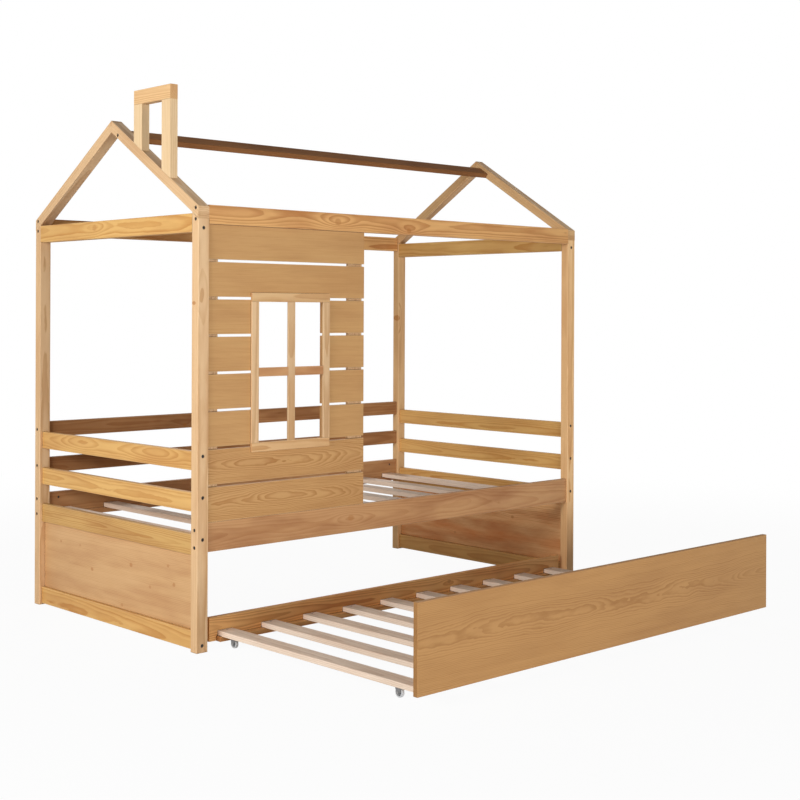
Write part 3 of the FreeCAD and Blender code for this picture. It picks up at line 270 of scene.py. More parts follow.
def new_group(name, inputs, outputs):
    """An empty node group with its sockets, and the sockets inside it."""
    group = bpy.data.node_groups.new(name, "ShaderNodeTree")
    for socket, kind in inputs.items():
        group.interface.new_socket(socket, in_out="INPUT", socket_type="NodeSocket" + kind)
    for socket, kind in outputs.items():
        group.interface.new_socket(socket, in_out="OUTPUT", socket_type="NodeSocket" + kind)
    given = group.nodes.new("NodeGroupInput").outputs
    made = group.nodes.new("NodeGroupOutput").inputs
    return group, Tree(group), given, made


def finish_group(tree, sockets, results):
    """Join the results to the group's outputs."""
    for name, value in results.items():
        tree.put(sockets[name], value)


def make_pine_group():
    """Wood with yearly rings round a pith, fine fibres, resin streaks and bent grain at knots, with
    painted shade in holes and between boards, and edges lightened partly by wear and partly as
    painted highlight.

    Position is in the board's own space: X along the grain, Y across the face, Z into it.
    """
    group, t, given, made = new_group(
        "pine",
        {"Position": "Vector", "Seed": "Float", "Pith": "Vector", "Ring Width": "Float",
         "Wander": "Float", "Flame": "Float", "Contrast": "Float", "Fibre": "Float",
         "Blotch": "Float", "Knot Bend": "Float", "Knot Mask": "Float", "Knot Shade": "Float",
         "Light": "Color", "Dark": "Color", "Knot": "Color", "Edge": "Color", "Gap": "Color",
         "Half Size": "Vector", "Roughness": "Float", "Edge Wear": "Float"},
        {"Colour": "Color", "Roughness": "Float", "Height": "Float"})
    seed = t.join(t.math("MULTIPLY", given["Seed"], 3.71), t.math("MULTIPLY", given["Seed"], 1.93),
                  t.math("MULTIPLY", given["Seed"], 5.37))
    place = t.vector("ADD", given["Position"], seed)

    slow = t.noise(t.scaled(place, (0.9, 3.0, 3.0)), 1.0, 2.0)
    wander = t.vector("SUBTRACT", slow.outputs["Color"], (0.5, 0.5, 0.5))
    wander = t.node("VectorMath", {0: wander, "Scale": given["Wander"]}, operation="SCALE")
    wave = t.noise(t.scaled(place, (7.0, 22.0, 22.0)), 1.0, 3.0)
    along = t.split(given["Position"])
    pith = t.split(given["Pith"])
    pith_line = t.join(0.0, pith[1], t.math("ADD", pith[2], t.math("MULTIPLY", along[0], pith[0])))
    across = t.vector("SUBTRACT", t.scaled(given["Position"], (0, 1, 1)), pith_line)
    across = t.vector("ADD", across, t.scaled(wander.outputs[0], (0, 1, 1)))
    radius = t.vector("LENGTH", across)
    radius = t.math("ADD", radius, t.math("MULTIPLY", wave.outputs[0], given["Flame"]))
    radius = t.math("SUBTRACT", radius, given["Knot Bend"])
    ring = t.math("DIVIDE", radius, given["Ring Width"])
    phase = t.math("FRACT", ring)
    which = t.node("TexWhiteNoise", {"W": t.math("FLOOR", ring)}, noise_dimensions="1D")
    late = t.math("MULTIPLY", t.smooth(phase, 0.18, 0.9), t.smooth(phase, 1.0, 0.93))
    late = t.math("MULTIPLY", late, t.math("MULTIPLY_ADD", which.outputs["Value"], 0.6, 0.4))

    fine = t.noise(t.scaled(place, (9.0, 420.0, 420.0)), 1.0, 3.0, 0.6).outputs[0]
    streak = t.noise(t.scaled(place, (3.2, 70.0, 70.0)), 1.0, 2.0).outputs[0]
    dash = t.noise(t.scaled(place, (42.0, 1300.0, 1300.0)), 1.0, 1.0).outputs[0]
    dash = t.smooth(dash, 0.64, 0.74)
    uneven = t.math("SUBTRACT", fine, 0.5)
    fibre = t.math("MULTIPLY", uneven, given["Fibre"])
    streak = t.math("MULTIPLY", t.math("SUBTRACT", streak, 0.5), given["Fibre"])
    fibre = t.math("ADD", fibre, streak)
    dashes = t.math("MULTIPLY", dash, t.math("MULTIPLY", given["Fibre"], 0.35))
    depth = t.math("ADD", t.math("MULTIPLY", late, given["Contrast"]), fibre)
    depth = t.math("ADD", depth, dashes, clamp=True)
    shade = t.mix(depth, given["Light"], given["Dark"])

    cloud = t.noise(t.scaled(place, (2.4, 11.0, 11.0)), 1.0, 3.0, 0.55).outputs[0]
    cloud = t.math("MULTIPLY", t.smooth(cloud, 0.38, 0.72), given["Blotch"])
    shade = t.mix(cloud, shade, t.mix(1.0, shade, given["Dark"], "MULTIPLY"))
    knot_colour = t.mix(given["Knot Shade"], given["Knot"], given["Dark"])
    shade = t.mix(given["Knot Mask"], shade, knot_colour)

    half = t.split(given["Half Size"])
    gap_x = t.math("SUBTRACT", half[0], t.math("ABSOLUTE", along[0]))
    gap_y = t.math("SUBTRACT", half[1], t.math("ABSOLUTE", along[1]))
    gap_z = t.math("SUBTRACT", half[2], t.math("ABSOLUTE", along[2]))
    # Within about 3 mm of the long edges the wood turns paler: partly sanded wear, partly a painted
    # highlight where the eased edges catch light
    side_edge = t.smooth(t.math("MAXIMUM", gap_y, gap_z), 0.0032, 0.0004)
    cut_end = t.smooth(gap_x, 0.0006, 0.0)
    worn_and_highlit = t.math("MULTIPLY", side_edge, t.math("MULTIPLY_ADD", fine, 0.6, 0.4))
    shade = t.mix(t.math("MULTIPLY", worn_and_highlit, given["Edge Wear"]), shade, given["Edge"])
    stained = t.mix(1.0, shade, given["Dark"], "MULTIPLY")
    shade = t.mix(t.math("MULTIPLY", cut_end, 0.25), shade, stained)
    # Painted shade: the wood turns to the gap colour where ambient occlusion finds holes, bolt
    # seats and the joints between boards
    hollow_painted_shade = t.node("AmbientOcclusion", {"Distance": 0.006}, samples=4).outputs["AO"]
    shade = t.mix(t.smooth(hollow_painted_shade, 0.72, 0.24), shade, given["Gap"])

    rough = t.math("ADD", given["Roughness"], t.math("MULTIPLY", uneven, 0.16))
    rough = t.math("ADD", rough, t.math("MULTIPLY", late, 0.06))
    narrow_face = t.smooth(gap_y, 0.0006, 0.0002)
    sawn = t.math("MAXIMUM", cut_end, narrow_face)
    rough = t.math("ADD", rough, t.math("MULTIPLY", sawn, 0.35), clamp=True)
    height = t.math("ADD", t.math("MULTIPLY", late, 0.5), t.math("MULTIPLY", fine, 0.8))
    height = t.math("SUBTRACT", height, t.math("MULTIPLY", dash, 0.5))
    height = t.math("ADD", height, t.math("MULTIPLY", given["Knot Mask"], 0.4))
    finish_group(t, made, {"Colour": shade, "Roughness": rough, "Height": height})
    return group


def make_knot_group():
    """One knot: how far it bends the rings round it, its mask and the shade inside it."""
    group, t, given, made = new_group(
        "knot",
        {"Position": "Vector", "Centre": "Vector", "Size": "Float", "Strength": "Float",
         "Bend": "Float", "Mask": "Float", "Shade": "Float"},
        {"Bend": "Float", "Mask": "Float", "Shade": "Float"})
    rough = t.noise(given["Position"], 160.0, 2.0)
    offset = t.vector("SUBTRACT", given["Position"], given["Centre"])
    parts = t.split(offset)
    size = given["Size"]
    deep = t.math("MULTIPLY", parts[2], 0.5)
    near = t.vector("LENGTH", t.join(t.math("MULTIPLY", parts[0], 0.8), parts[1], deep))
    ragged = t.math("SUBTRACT", rough.outputs[0], 0.5)
    near = t.math("ADD", near, t.math("MULTIPLY", ragged, t.math("MULTIPLY", size, 0.5)))
    near_share = t.math("DIVIDE", near, size)
    far = t.vector("LENGTH", t.join(t.math("MULTIPLY", parts[0], 0.35), parts[1], deep))
    far = t.math("DIVIDE", far, t.math("MULTIPLY", size, 2.2))
    bump = t.math("EXPONENT", t.math("MULTIPLY", t.math("MULTIPLY", far, far), -1.0))
    swell = t.math("MULTIPLY_ADD", given["Strength"], 0.9, 0.6)
    bend = t.math("MULTIPLY", bump, t.math("MULTIPLY", size, swell))
    mask = t.math("MULTIPLY", t.smooth(near_share, 1.15, 0.7), given["Strength"])
    rings = t.math("SINE", t.math("MULTIPLY", near_share, 15.0))
    inner = t.math("MULTIPLY", mask, t.math("MULTIPLY_ADD", rings, 0.3, 0.42))
    rim = t.smooth(near_share, 0.6, 0.95)
    inner = t.math("MULTIPLY", inner, t.math("SUBTRACT", 1.0, t.math("MULTIPLY", rim, 0.8)))
    finish_group(t, made, {
        "Bend": t.math("ADD", given["Bend"], bend),
        "Mask": t.math("MAXIMUM", given["Mask"], mask),
        "Shade": t.math("MAXIMUM", given["Shade"], inner),
    })
    return group


# ---------------------------------------------------------------- finishes of the woods

# Each finish: its colours, ring width, wander, flame, contrast, fibre and blotch, and whether it
# is lacquered
FINISHES = {
    "post": ("post", "ring_width", 0.022, 0.005, 0.75, 0.6, 0.25, True),
    "warm": ("warm", "ring_width", 0.022, 0.005, 0.75, 0.6, 0.25, True),
    "ridge": ("ridge", "ring_width", 0.04, 0.004, 0.6, 0.55, 0.3, False),
    "chimney": ("chimney", "ring_width", 0.015, 0.004, 0.6, 0.45, 0.1, True),
    "rail": ("rail", "ring_width", 0.05, 0.004, 0.75, 0.42, 0.35, True),
    "end": ("end", "ring_width", 0.05, 0.006, 0.65, 0.42, 0.3, True),
    "side": ("side", "ring_width", 0.05, 0.005, 0.5, 0.45, 0.5, True),
    "inner": ("inner", "ring_width", 0.04, 0.004, 0.6, 0.55, 0.5, False),
    "wall": ("wall", "veneer_ring_width", 0.02, 0.004, 0.42, 0.6, 0.16, True),
    "figured": ("wall", "veneer_ring_width", 0.05, 0.014, 0.95, 0.5, 0.18, True),
    "front": ("front", "veneer_ring_width", 0.06, 0.016, 0.75, 0.5, 0.15, True),
    "panel": ("panel", "ring_width", 0.04, 0.005, 0.45, 0.6, 0.3, True),
    "streaked": ("panel", "ring_width", 0.04, 0.008, 0.9, 0.9, 0.8, True),
    "slat": ("slat", "ring_width", 0.03, 0.004, 0.6, 0.65, 0.3, False),
    "dowel": ("dowel", "ring_width", 0.01, 0.002, 0.3, 0.4, 0.1, False),
}
SLOPE_UP = "slope up"
SLOPE_DOWN = "slope down"
BUMP_DEPTH = 0.00025  # metres
LACQUER_SPECULAR, BARE_SPECULAR = 0.22, 0.12
COAT_ROUGHNESS = 0.4
# Shares of edge colour: stained wear on the trundle front, and rubbed wear with painted highlight
# on the other boards
STAINED_WEAR, RUBBED_WEAR_AND_HIGHLIGHT = 0.75, 0.3
RAFTER_PLUMB = 0.0426  # height of a rafter's plumb cut, in metres
BED_SLAT_PITCH, TRUNDLE_SLAT_PITCH = 0.1912, 0.19178  # metres
EDGELESS_WIDTH = 1.0  # a board width, in metres, that puts the worn edges outside the slats


class Board:
    """Where a board lies: its middle, its own axes and its half sizes."""

    def __init__(self, node, grain):
        low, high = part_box(node)
        size = high - low
        self.middle = (low + high) / 2
        if grain in (SLOPE_UP, SLOPE_DOWN):
            self.lie_on_slope(size, 1 if grain == SLOPE_UP else -1)
            return
        along = "XYZ".index(grain)
        others = (axis for axis in range(3) if axis != along)
        through, wide = sorted(others, key=lambda axis: size[axis])
        self.axes = [Vector([float(i == axis) for i in range(3)])
                     for axis in (along, wide, through)]
        if self.axes[0].cross(self.axes[1]).dot(self.axes[2]) < 0:
            self.axes[1].negate()
        self.half = Vector((size[along], size[wide], size[through])) / 2

    def lie_on_slope(self, size, sign):
        """A rafter's axes. Its box is as high as its run's rise and its plumb cut together."""
        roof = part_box("rafter_front_left")
        angle = atan2(roof[1].z - roof[0].z - RAFTER_PLUMB, roof[1].y - roof[0].y)
        along = Vector((0, cos(angle), sign * sin(angle)))
        wide = Vector((1, 0, 0))
        self.axes = [along, wide, along.cross(wide)]
        self.half = Vector((size.y / cos(angle), size.x, RAFTER_PLUMB * cos(angle))) / 2

    def turn(self):
        """The rotation of the board's own axes."""
        return Matrix(self.axes).transposed().to_euler()

    def inside(self, point):
        """A place in the board's own space."""
        offset = Vector(point) - self.middle
        return Vector([offset.dot(axis) for axis in self.axes])


def folded(t, position, row):
    """Position within one of a row of like boards, and a number for the board it is in."""
    axis, pitch, start = row[:3]
    parts = t.split(position)
    turn = t.math("SUBTRACT", parts[axis], start - pitch / 2)
    turn = t.math("FLOOR", t.math("DIVIDE", turn, pitch))
    middle = t.math("MULTIPLY_ADD", turn, pitch, start)
    local = [parts[0], parts[1], parts[2]]
    local[axis] = t.math("SUBTRACT", parts[axis], middle)
    return t.join(*local), turn


def empty_material(name):
    """A material without nodes, and its tree."""
    material = bpy.data.materials.new(name)
    material.use_nodes = True
    material.node_tree.nodes.clear()
    return material, Tree(material.node_tree)


def show(t, shader):
    """Give a material its finished shader."""
    t.put(t.node("OutputMaterial").inputs["Surface"], shader.outputs[0])


def wood(node, grain, finish, pith, knots=(), row=None, seed=0.0, tone=1.0):
    """The material of one board, or of a row of like boards.

    pith is how the heart of the tree runs (its slope along the board, its place across the face
    and its depth), knots are places, sizes and strengths, and row is the axis, pitch, first middle
    and width of like boards.
    """
    values = settings("wood")
    colours, ring_width, wander, flame, contrast, fibre, blotch, lacquered = FINISHES[finish]
    light = [channel * tone for channel in getattr(values, colours + "_light")[:3]] + [1]
    dark = [channel * tone for channel in getattr(values, colours + "_dark")[:3]] + [1]
    material, t = empty_material(node)
    board = Board(node, grain)
    position = t.node("TexCoord").outputs["Object"]
    number = seed
    if row:
        position, turn = folded(t, position, row)
        board.middle[row[0]] = 0
        board.half[1] = row[3] / 2
        number = t.math("ADD", turn, seed)
    local = t.node("Mapping", {"Vector": position, "Location": board.middle,
                               "Rotation": board.turn()}, vector_type="TEXTURE").outputs[0]
    bend, mask, shade = 0.0, 0.0, 0.0
    for place, size, strength in knots:
        knot = t.node("Group", node_tree=bpy.data.node_groups["knot"])
        for socket, value in {
                "Position": local, "Centre": board.inside(place), "Size": size,
                "Strength": strength, "Bend": bend, "Mask": mask, "Shade": shade}.items():
            t.put(knot.inputs[socket], value)
        bend, mask, shade = knot.outputs
    pine = t.node("Group", node_tree=bpy.data.node_groups["pine"])
    for socket, value in {
            "Position": local, "Seed": number, "Pith": pith,
            "Ring Width": getattr(values, ring_width), "Wander": wander, "Flame": flame,
            "Contrast": contrast, "Fibre": fibre, "Blotch": blotch, "Knot Bend": bend,
            "Knot Mask": mask, "Knot Shade": shade, "Light": light, "Dark": dark,
            "Knot": values.knot, "Half Size": board.half,
            "Edge": values.edge_dark if finish == "front" else values.edge_pale_highlight,
            "Edge Wear": STAINED_WEAR if finish == "front" else RUBBED_WEAR_AND_HIGHLIGHT, "Gap": values.gap,
            "Roughness": values.roughness if lacquered else values.bare_roughness}.items():
        t.put(pine.inputs[socket], value)
    bump = t.node("Bump", {"Height": pine.outputs["Height"], "Strength": 0.55,
                           "Distance": BUMP_DEPTH})
    shader = t.node("BsdfPrincipled", {
        "Base Color": pine.outputs["Colour"], "Roughness": pine.outputs["Roughness"],
        "Normal": bump.outputs[0], "IOR": 1.5,
        "Specular IOR Level": LACQUER_SPECULAR if lacquered else BARE_SPECULAR})
    if lacquered:
        shader.inputs["Coat Weight"].default_value = values.coat
        shader.inputs["Coat Roughness"].default_value = COAT_ROUGHNESS
    show(t, shader)
    return material


def dress(node, material):
    """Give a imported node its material."""
    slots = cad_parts[node].data.materials
    slots.clear()
    slots.append(material)


# Knots and eyes in the grain, by board: a place, a radius in metres and how dark it is, where 0
# only bends the grain
KNOTS = {
    "end_panel_left": [((-0.975, 0.854, 0.259), 0.005, 0.55), ((-0.975, 0.718, 0.261), 0.005, 0.35),
                       ((-0.975, 0.634, 0.183), 0.007, 0.6), ((-0.975, 0.377, 0.234), 0.008, 0.6),
                       ((-0.975, 0.150, 0.262), 0.006, 0.45), ((-0.975, 0.258, 0.173), 0.006, 0.4),
                       ((-0.975, 0.115, 0.202), 0.007, 0.55),
                       ((-0.975, 0.434, 0.082), 0.006, 0.45)],
    "end_panel_right": [((0.98, 0.274, 0.230), 0.007, 0.6), ((0.98, 0.62, 0.12), 0.006, 0.4)],
    "end_top_rail_left": [((-1.0, 0.587, 1.445), 0.012, 0.35)],
    "end_guard_upper_left": [((-0.988, 0.70, 0.655), 0.020, 0.0),
                             ((-0.988, 0.20, 0.655), 0.018, 0.0)],
    "top_rail_front": [((-0.372, -0.0515, 1.467), 0.013, 0.45),
                       ((-0.007, -0.0515, 1.45), 0.010, 0.6)],
    "side_rail_front": [((-0.297, -0.0445, 0.385), 0.012, 0.35),
                        ((0.35, -0.0445, 0.42), 0.02, 0.0)],
    "wall_board_1": [((-0.62, -0.0445, 0.49), 0.03, 0.0), ((-0.40, -0.0445, 0.47), 0.022, 0.0)],
    "wall_board_2": [((-0.75, -0.0445, 0.62), 0.025, 0.0), ((-0.5, -0.0445, 0.60), 0.03, 0.0)],
    "post_front_left": [((-1.0, -0.028, 1.168), 0.005, 0.8), ((-0.985, -0.0515, 1.2), 0.011, 0.0)],
    "post_back_right": [((0.955, 0.984, 1.112), 0.011, 0.85)],
    "side_rail_back": [((0.4, 0.9835, 0.42), 0.009, 0.5)],
    "back_guard_upper": [((-0.3, 0.9835, 0.66), 0.008, 0.5)],
    "trundle_back_rail": [((0.25, -0.0265, 0.08), 0.008, 0.4)],
}


def seeded_pith(name, depth=(0.03, 0.075), spread=0.012, slope=0.02):
    """A heart line that differs from board to board and is the same on every run."""
    draw = random.Random(name)
    return (draw.uniform(-slope, slope), draw.uniform(-spread, spread),
            draw.choice((-1, 1)) * draw.uniform(*depth))


def dress_boards(nodes, grain, finish, tone=1.0, **pith_options):
    """Give like boards their wood, each with its own grain and shade."""
    for node in nodes:
        draw = random.Random(node + " wood")
        pith = seeded_pith(node, **pith_options)
        dress(node, wood(node, grain, finish, pith, KNOTS.get(node, ()),
                         seed=draw.uniform(1, 40), tone=tone * draw.uniform(0.97, 1.03)))


# ---------------------------------------------------------------- metal and plastic

def plain_material(name, base, roughness, metallic=0.0, grain=0.0, scale=900.0, hollow_shade=None):
    """A metal or plastic with a fine uneven surface and painted shade in its hollows."""
    material, t = empty_material(name)
    position = t.node("TexCoord").outputs["Object"]
    fine = t.noise(position, scale, 3.0, 0.6).outputs[0]
    cloud = t.noise(position, scale / 12, 2.0).outputs[0]
    tone = t.math("MULTIPLY_ADD", t.math("ADD", fine, cloud), 0.35 * grain + 0.12, 0.82)
    grey = t.node("CombineColor", {0: tone, 1: tone, 2: tone}).outputs[0]
    shade = t.mix(1.0, base, grey, "MULTIPLY")
    if hollow_shade is not None:
        # Painted shade: the socket colour fills the sockets, slots and seats that ambient occlusion
        # finds
        hollow_painted_shade = t.node("AmbientOcclusion", {"Distance": 0.003}, samples=4).outputs["AO"]
        shade = t.mix(t.smooth(hollow_painted_shade, 0.45, 0.92), hollow_shade, shade)
    rough = t.math("MULTIPLY_ADD", fine, 0.25, roughness - 0.12, clamp=True)
    bump = t.node("Bump", {"Height": fine, "Strength": 0.3, "Distance": 0.0001})
    shader = t.node("BsdfPrincipled", {"Base Color": shade, "Roughness": rough,
                                       "Normal": bump.outputs[0], "Metallic": metallic})
    show(t, shader)
    return material


# ---------------------------------------------------------------- casters

RIB_MIDDLE, RIB_DEPTH, RIB_HALF_WIDTH = 0.0035, 0.0026, 0.0008  # metres, the first from the middle


def mesh_piece(name, mesh, material, body, replaced):
    """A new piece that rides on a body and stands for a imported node."""
    bmesh.ops.recalc_face_normals(mesh, faces=mesh.faces)
    data = bpy.data.meshes.new(name)
    mesh.to_mesh(data)
    mesh.free()
    data.materials.append(material)
    piece = bpy.data.objects.new(name, data)
    bpy.context.scene.collection.objects.link(piece)
    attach(piece, body)
    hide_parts(replaced)
    return piece


def bevelled(piece, width, segments=3):
    """Round the sharp edges of a piece."""
    bevel = piece.modifiers.new("Rounding", "BEVEL")
    bevel.width = width
    bevel.segments = segments
    bevel.limit_method = "ANGLE"
    bevel.angle_limit = radians(35)
    for face in piece.data.polygons:
        face.use_smooth = True
    smooth = piece.modifiers.new("Weighted", "WEIGHTED_NORMAL")
    smooth.keep_sharp = True
    return piece


def slab(mesh, outline, axis, start, thickness):
    """A flat plate: its outline in the two other axes, and where it starts along this one."""
    def point(first, second, along):
        place = [first, second]
        place.insert(axis, along)
        return mesh.verts.new(place)

    near = [point(*corner, start) for corner in outline]
    far = [point(*corner, start + thickness) for corner in outline]
    mesh.faces.new(near[::-1])
    mesh.faces.new(far)
    for i, corner in enumerate(near):
        after = (i + 1) % len(near)
        mesh.faces.new((corner, near[after], far[after], far[i]))


def arc(middle, radius, first, last, steps=14):
    """Points along an arc, in degrees."""
    angles = [radians(first + (last - first) * step / steps) for step in range(steps + 1)]
    return [(middle[0] + radius * cos(angle), middle[1] + radius * sin(angle)) for angle in angles]


def fork_mesh(mesh, x, y, values, top):
    """One fork: a plate with rounded corners and two cheeks bent down from it."""
    half_x = values.plate_length / 2 - values.plate_corner
    half_y = values.plate_depth / 2 - values.plate_corner
    outline = []
    for number, (sign_x, sign_y) in enumerate(((1, 1), (-1, 1), (-1, -1), (1, -1))):
        corner = (x + sign_x * half_x, y + sign_y * half_y)
        outline += arc(corner, values.plate_corner, 90 * number, 90 * (number + 1), 6)
    slab(mesh, outline, 2, top - values.sheet, values.sheet)
    half_top = values.cheek_top / 2
    under = top - values.sheet
    lean = 25
    cheek = [(y + half_top, under), (y - half_top, under)]
    cheek += arc((y, values.wheel_radius), values.cheek_foot, 180 + lean / 2, 360 - lean / 2)
    for start in (values.cheek_inside, -values.cheek_inside - values.sheet):
        slab(mesh, cheek, 0, x + start, values.sheet)
        reach = values.sheet * 1.3
        side = 1 if start > 0 else -1
        inner = x + side * (values.cheek_inside + values.sheet)
        fillet = [(inner, under)] + arc((inner + side * reach, under - reach), reach,
                                        90, 180 if side > 0 else 0, 6)
        slab(mesh, fillet, 1, y - half_top * 0.96, half_top * 1.92)


def wheel_outline(values):
    """Half of a wheel's section from the bore to the middle of the tread: across and radius."""
    wide, tread = values.wheel_half_width, values.wheel_radius
    hub, hub_wide = values.hub_radius, values.hub_half_width
    web, rim = wide * 0.4, tread * 0.7
    return [(hub_wide, values.bore_radius), (hub_wide, hub * 0.9), (hub_wide * 0.96, hub),
            (web, hub * 1.06), (web, rim * 0.97), (wide * 0.93, rim), (wide, rim * 1.05),
            (wide, tread * 0.87), (wide * 0.93, tread * 0.94), (wide * 0.75, tread * 0.985),
            (wide * 0.4, tread), (0.0, tread)]


def wheel_mesh(mesh, middle, values, steps=72):
    """A wheel turned about X, with a rounded tread, sunk webs and ribs between hub and rim."""
    half = wheel_outline(values)
    outline = half + [(-across, up) for across, up in reversed(half[:-1])]
    rings = []
    for step in range(steps):
        angle = tau * step / steps
        rings.append([mesh.verts.new(middle + Vector((across, up * cos(angle), up * sin(angle))))
                      for across, up in outline])
    for step, ring in enumerate(rings):
        after = rings[(step + 1) % steps]
        for i in range(len(outline)):
            j = (i + 1) % len(outline)
            mesh.faces.new((ring[i], ring[j], after[j], after[i]))
    inner, outer = values.hub_radius * 0.95, values.wheel_radius * 0.72
    for spoke in range(values.spokes):
        turn = Matrix.Rotation(tau * spoke / values.spokes, 3, "X")
        for side in (-1, 1):
            made = bmesh.ops.create_cube(mesh, size=1.0)["verts"]
            for corner in made:
                corner.co.x = side * (RIB_MIDDLE + corner.co.x * RIB_DEPTH)
                corner.co.y = corner.co.y * 2 * RIB_HALF_WIDTH
                corner.co.z = (inner + outer) / 2 + corner.co.z * (outer - inner)
                corner.co = middle + turn @ corner.co


# ---------------------------------------------------------------- operators

class HOUSEBED_OT_shared_grain(bpy.types.Operator):
    """Make the node groups that every board's wood shares"""
    bl_idname = "house_bed.shared_grain"
    bl_label = "Shared Grain"

    def execute(self, context):
        make_pine_group()
        make_knot_group()
        return {"FINISHED"}


class HOUSEBED_OT_posts(bpy.types.Operator):
    """Dress the four posts in straight-grained pine"""
    bl_idname = "house_bed.posts"
    bl_label = "Posts"

    def execute(self, context):
        heart = {"depth": (0.05, 0.09), "slope": 0.006}
        dress_boards(["post_front_left", "post_back_left"], "Z", "post", tone=1.04, **heart)
        dress_boards(["post_front_right"], "Z", "warm", tone=1.2, **heart)
        dress_boards(["post_back_right"], "Z", "warm", tone=1.03, **heart)
        return {"FINISHED"}


class HOUSEBED_OT_roof(bpy.types.Operator):
    """Dress the rafters and the ridge beam"""
    bl_idname = "house_bed.roof"
    bl_label = "Roof"

    def execute(self, context):
        for end, finish in (("left", "post"), ("right", "warm")):
            dress_boards(["rafter_front_" + end], SLOPE_UP, finish, depth=(0.05, 0.1))
            dress_boards(["rafter_back_" + end], SLOPE_DOWN, finish, depth=(0.05, 0.1))
        dress_boards(["ridge_beam"], "X", "ridge")
        return {"FINISHED"}


class HOUSEBED_OT_long_rails(bpy.types.Operator):
    """Dress the rails that run along the bed"""
    bl_idname = "house_bed.long_rails"
    bl_label = "Long Rails"

    def execute(self, context):
        dress_boards(["top_rail_front", "top_rail_back"], "X", "rail")
        dress_boards(["side_rail_front", "side_rail_back"], "X", "side")
        # The back guards' darker colours hold painted shade as well as their own redder tone
        dress_boards(["back_guard_upper", "back_guard_lower"], "X", "inner")
        return {"FINISHED"}


class HOUSEBED_OT_ends(bpy.types.Operator):
    """Dress the rails and the board panel of both ends"""
    bl_idname = "house_bed.ends"
    bl_label = "Ends"

    def execute(self, context):
        for end in ENDS:
            rails = ("end_top_rail", "end_guard_upper", "end_guard_lower", "end_bottom_rail")
            dress_boards([f"{rail}_{end}" for rail in rails], "Y", "end")
        dress_boards(["end_wide_rail_left"], "Y", "end", tone=0.84)
        dress_boards(["end_wide_rail_right"], "Y", "end")
        for node, finish, pith, seed, tone in (
                ("end_panel_left", "panel", (0.01, 0.18, -0.05), 4.2, 1.0),
                ("end_panel_right", "streaked", (0.012, 0.12, 0.05), 9.1, 1.35)):
            dress(node, wood(node, "Y", finish, pith, KNOTS[node], seed=seed, tone=tone))
        return {"FINISHED"}


class HOUSEBED_OT_board_wall(bpy.types.Operator):
    """Dress the boards of the front wall and the battens behind them"""
    bl_idname = "house_bed.board_wall"
    bl_label = "Board Wall"

    def execute(self, context):
        dress_boards(["wall_board_7", "wall_board_8"], "X", "wall",
                     depth=(0.03, 0.04), spread=0.2)
        dress_boards(["wall_board_1", "wall_board_2"], "X", "figured",
                     depth=(0.035, 0.06), slope=0.03)
        low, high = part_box("wall_board_1")
        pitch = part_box("wall_board_2")[0].z - low.z
        first = (low.z + high.z) / 2
        for node in ("wall_boards_left_of_window", "wall_boards_right_of_window"):
            row = (2, pitch, first, high.z - low.z)
            dress(node, wood(node, "X", "wall", (0.01, 0.11, 0.04), row=row, seed=3.3))
        dress_boards(["wall_batten_left", "wall_batten_right"], "Z", "post")
        return {"FINISHED"}


class HOUSEBED_OT_window(bpy.types.Operator):
    """Dress the casing, mullion and crossbar of the window"""
    bl_idname = "house_bed.window"
    bl_label = "Window"

    def execute(self, context):
        dress_boards(["window_head", "window_sill"], "X", "warm")
        dress_boards(["window_crossbar"], "X", "side", tone=1.08)
        dress_boards(["window_stile_left", "window_stile_right", "window_mullion"], "Z", "post")
        return {"FINISHED"}


class HOUSEBED_OT_chimney(bpy.types.Operator):
    """Dress the legs and the cap of the chimney"""
    bl_idname = "house_bed.chimney"
    bl_label = "Chimney"

    def execute(self, context):
        dress_boards(["chimney_cap"], "Y", "warm", tone=1.05, depth=(0.03, 0.05))
        dress_boards(["chimney_legs"], "Z", "chimney", depth=(0.1, 0.2))
        return {"FINISHED"}


class HOUSEBED_OT_slats(bpy.types.Operator):
    """Dress the bare slats of the bed and the trundle and the bed's cleats"""
    bl_idname = "house_bed.slats"
    bl_label = "Slats"

    def execute(self, context):
        pitches = {"bed_slats": BED_SLAT_PITCH, "trundle_slats": TRUNDLE_SLAT_PITCH}
        for node, pitch in pitches.items():
            row = (0, pitch, pitch / 2, EDGELESS_WIDTH)
            dress(node, wood(node, "Y", "slat", (0.02, 0.01, -0.04), row=row, seed=2.4))
        dress_boards(["slat_cleats"], "X", "side")
        return {"FINISHED"}


class HOUSEBED_OT_trundle(bpy.types.Operator):
    """Dress the trundle's front, back rail and cleats"""
    bl_idname = "house_bed.trundle"
    bl_label = "Trundle"

    def execute(self, context):
        panel = "trundle_panel"
        dress(panel, wood(panel, "X", "front", (0.02, -0.01, -0.055), seed=6.6))
        # Its tone is lifted as painted light, to make up for the shade it lies in beneath the bed
        dress_boards(["trundle_back_rail"], "X", "rail", tone=1.3)
        dress_boards(["trundle_cleats"], "X", "rail")
        return {"FINISHED"}


class HOUSEBED_OT_fasteners(bpy.types.Operator):
    """Dress the bolts, nuts, dowels, screws and axles"""
    bl_idname = "house_bed.fasteners"
    bl_label = "Fasteners"

    def execute(self, context):
        values = settings("casters")
        zinc = plain_material("zinc", values.zinc, 0.35, metallic=0.6, grain=0.3,
                              hollow_shade=values.socket_shade)
        bolt = plain_material("bolt", values.bolt_grey, 0.35, metallic=0.5, grain=0.3,
                              hollow_shade=values.socket_shade)
        for node in ("bed_screws", "trundle_screws", "caster_axles"):
            dress(node, zinc)
        for node in ("frame_bolts", "barrel_nuts"):
            dress(node, bolt)
        dress_boards(["dowels"], "Y", "dowel")
        return {"FINISHED"}


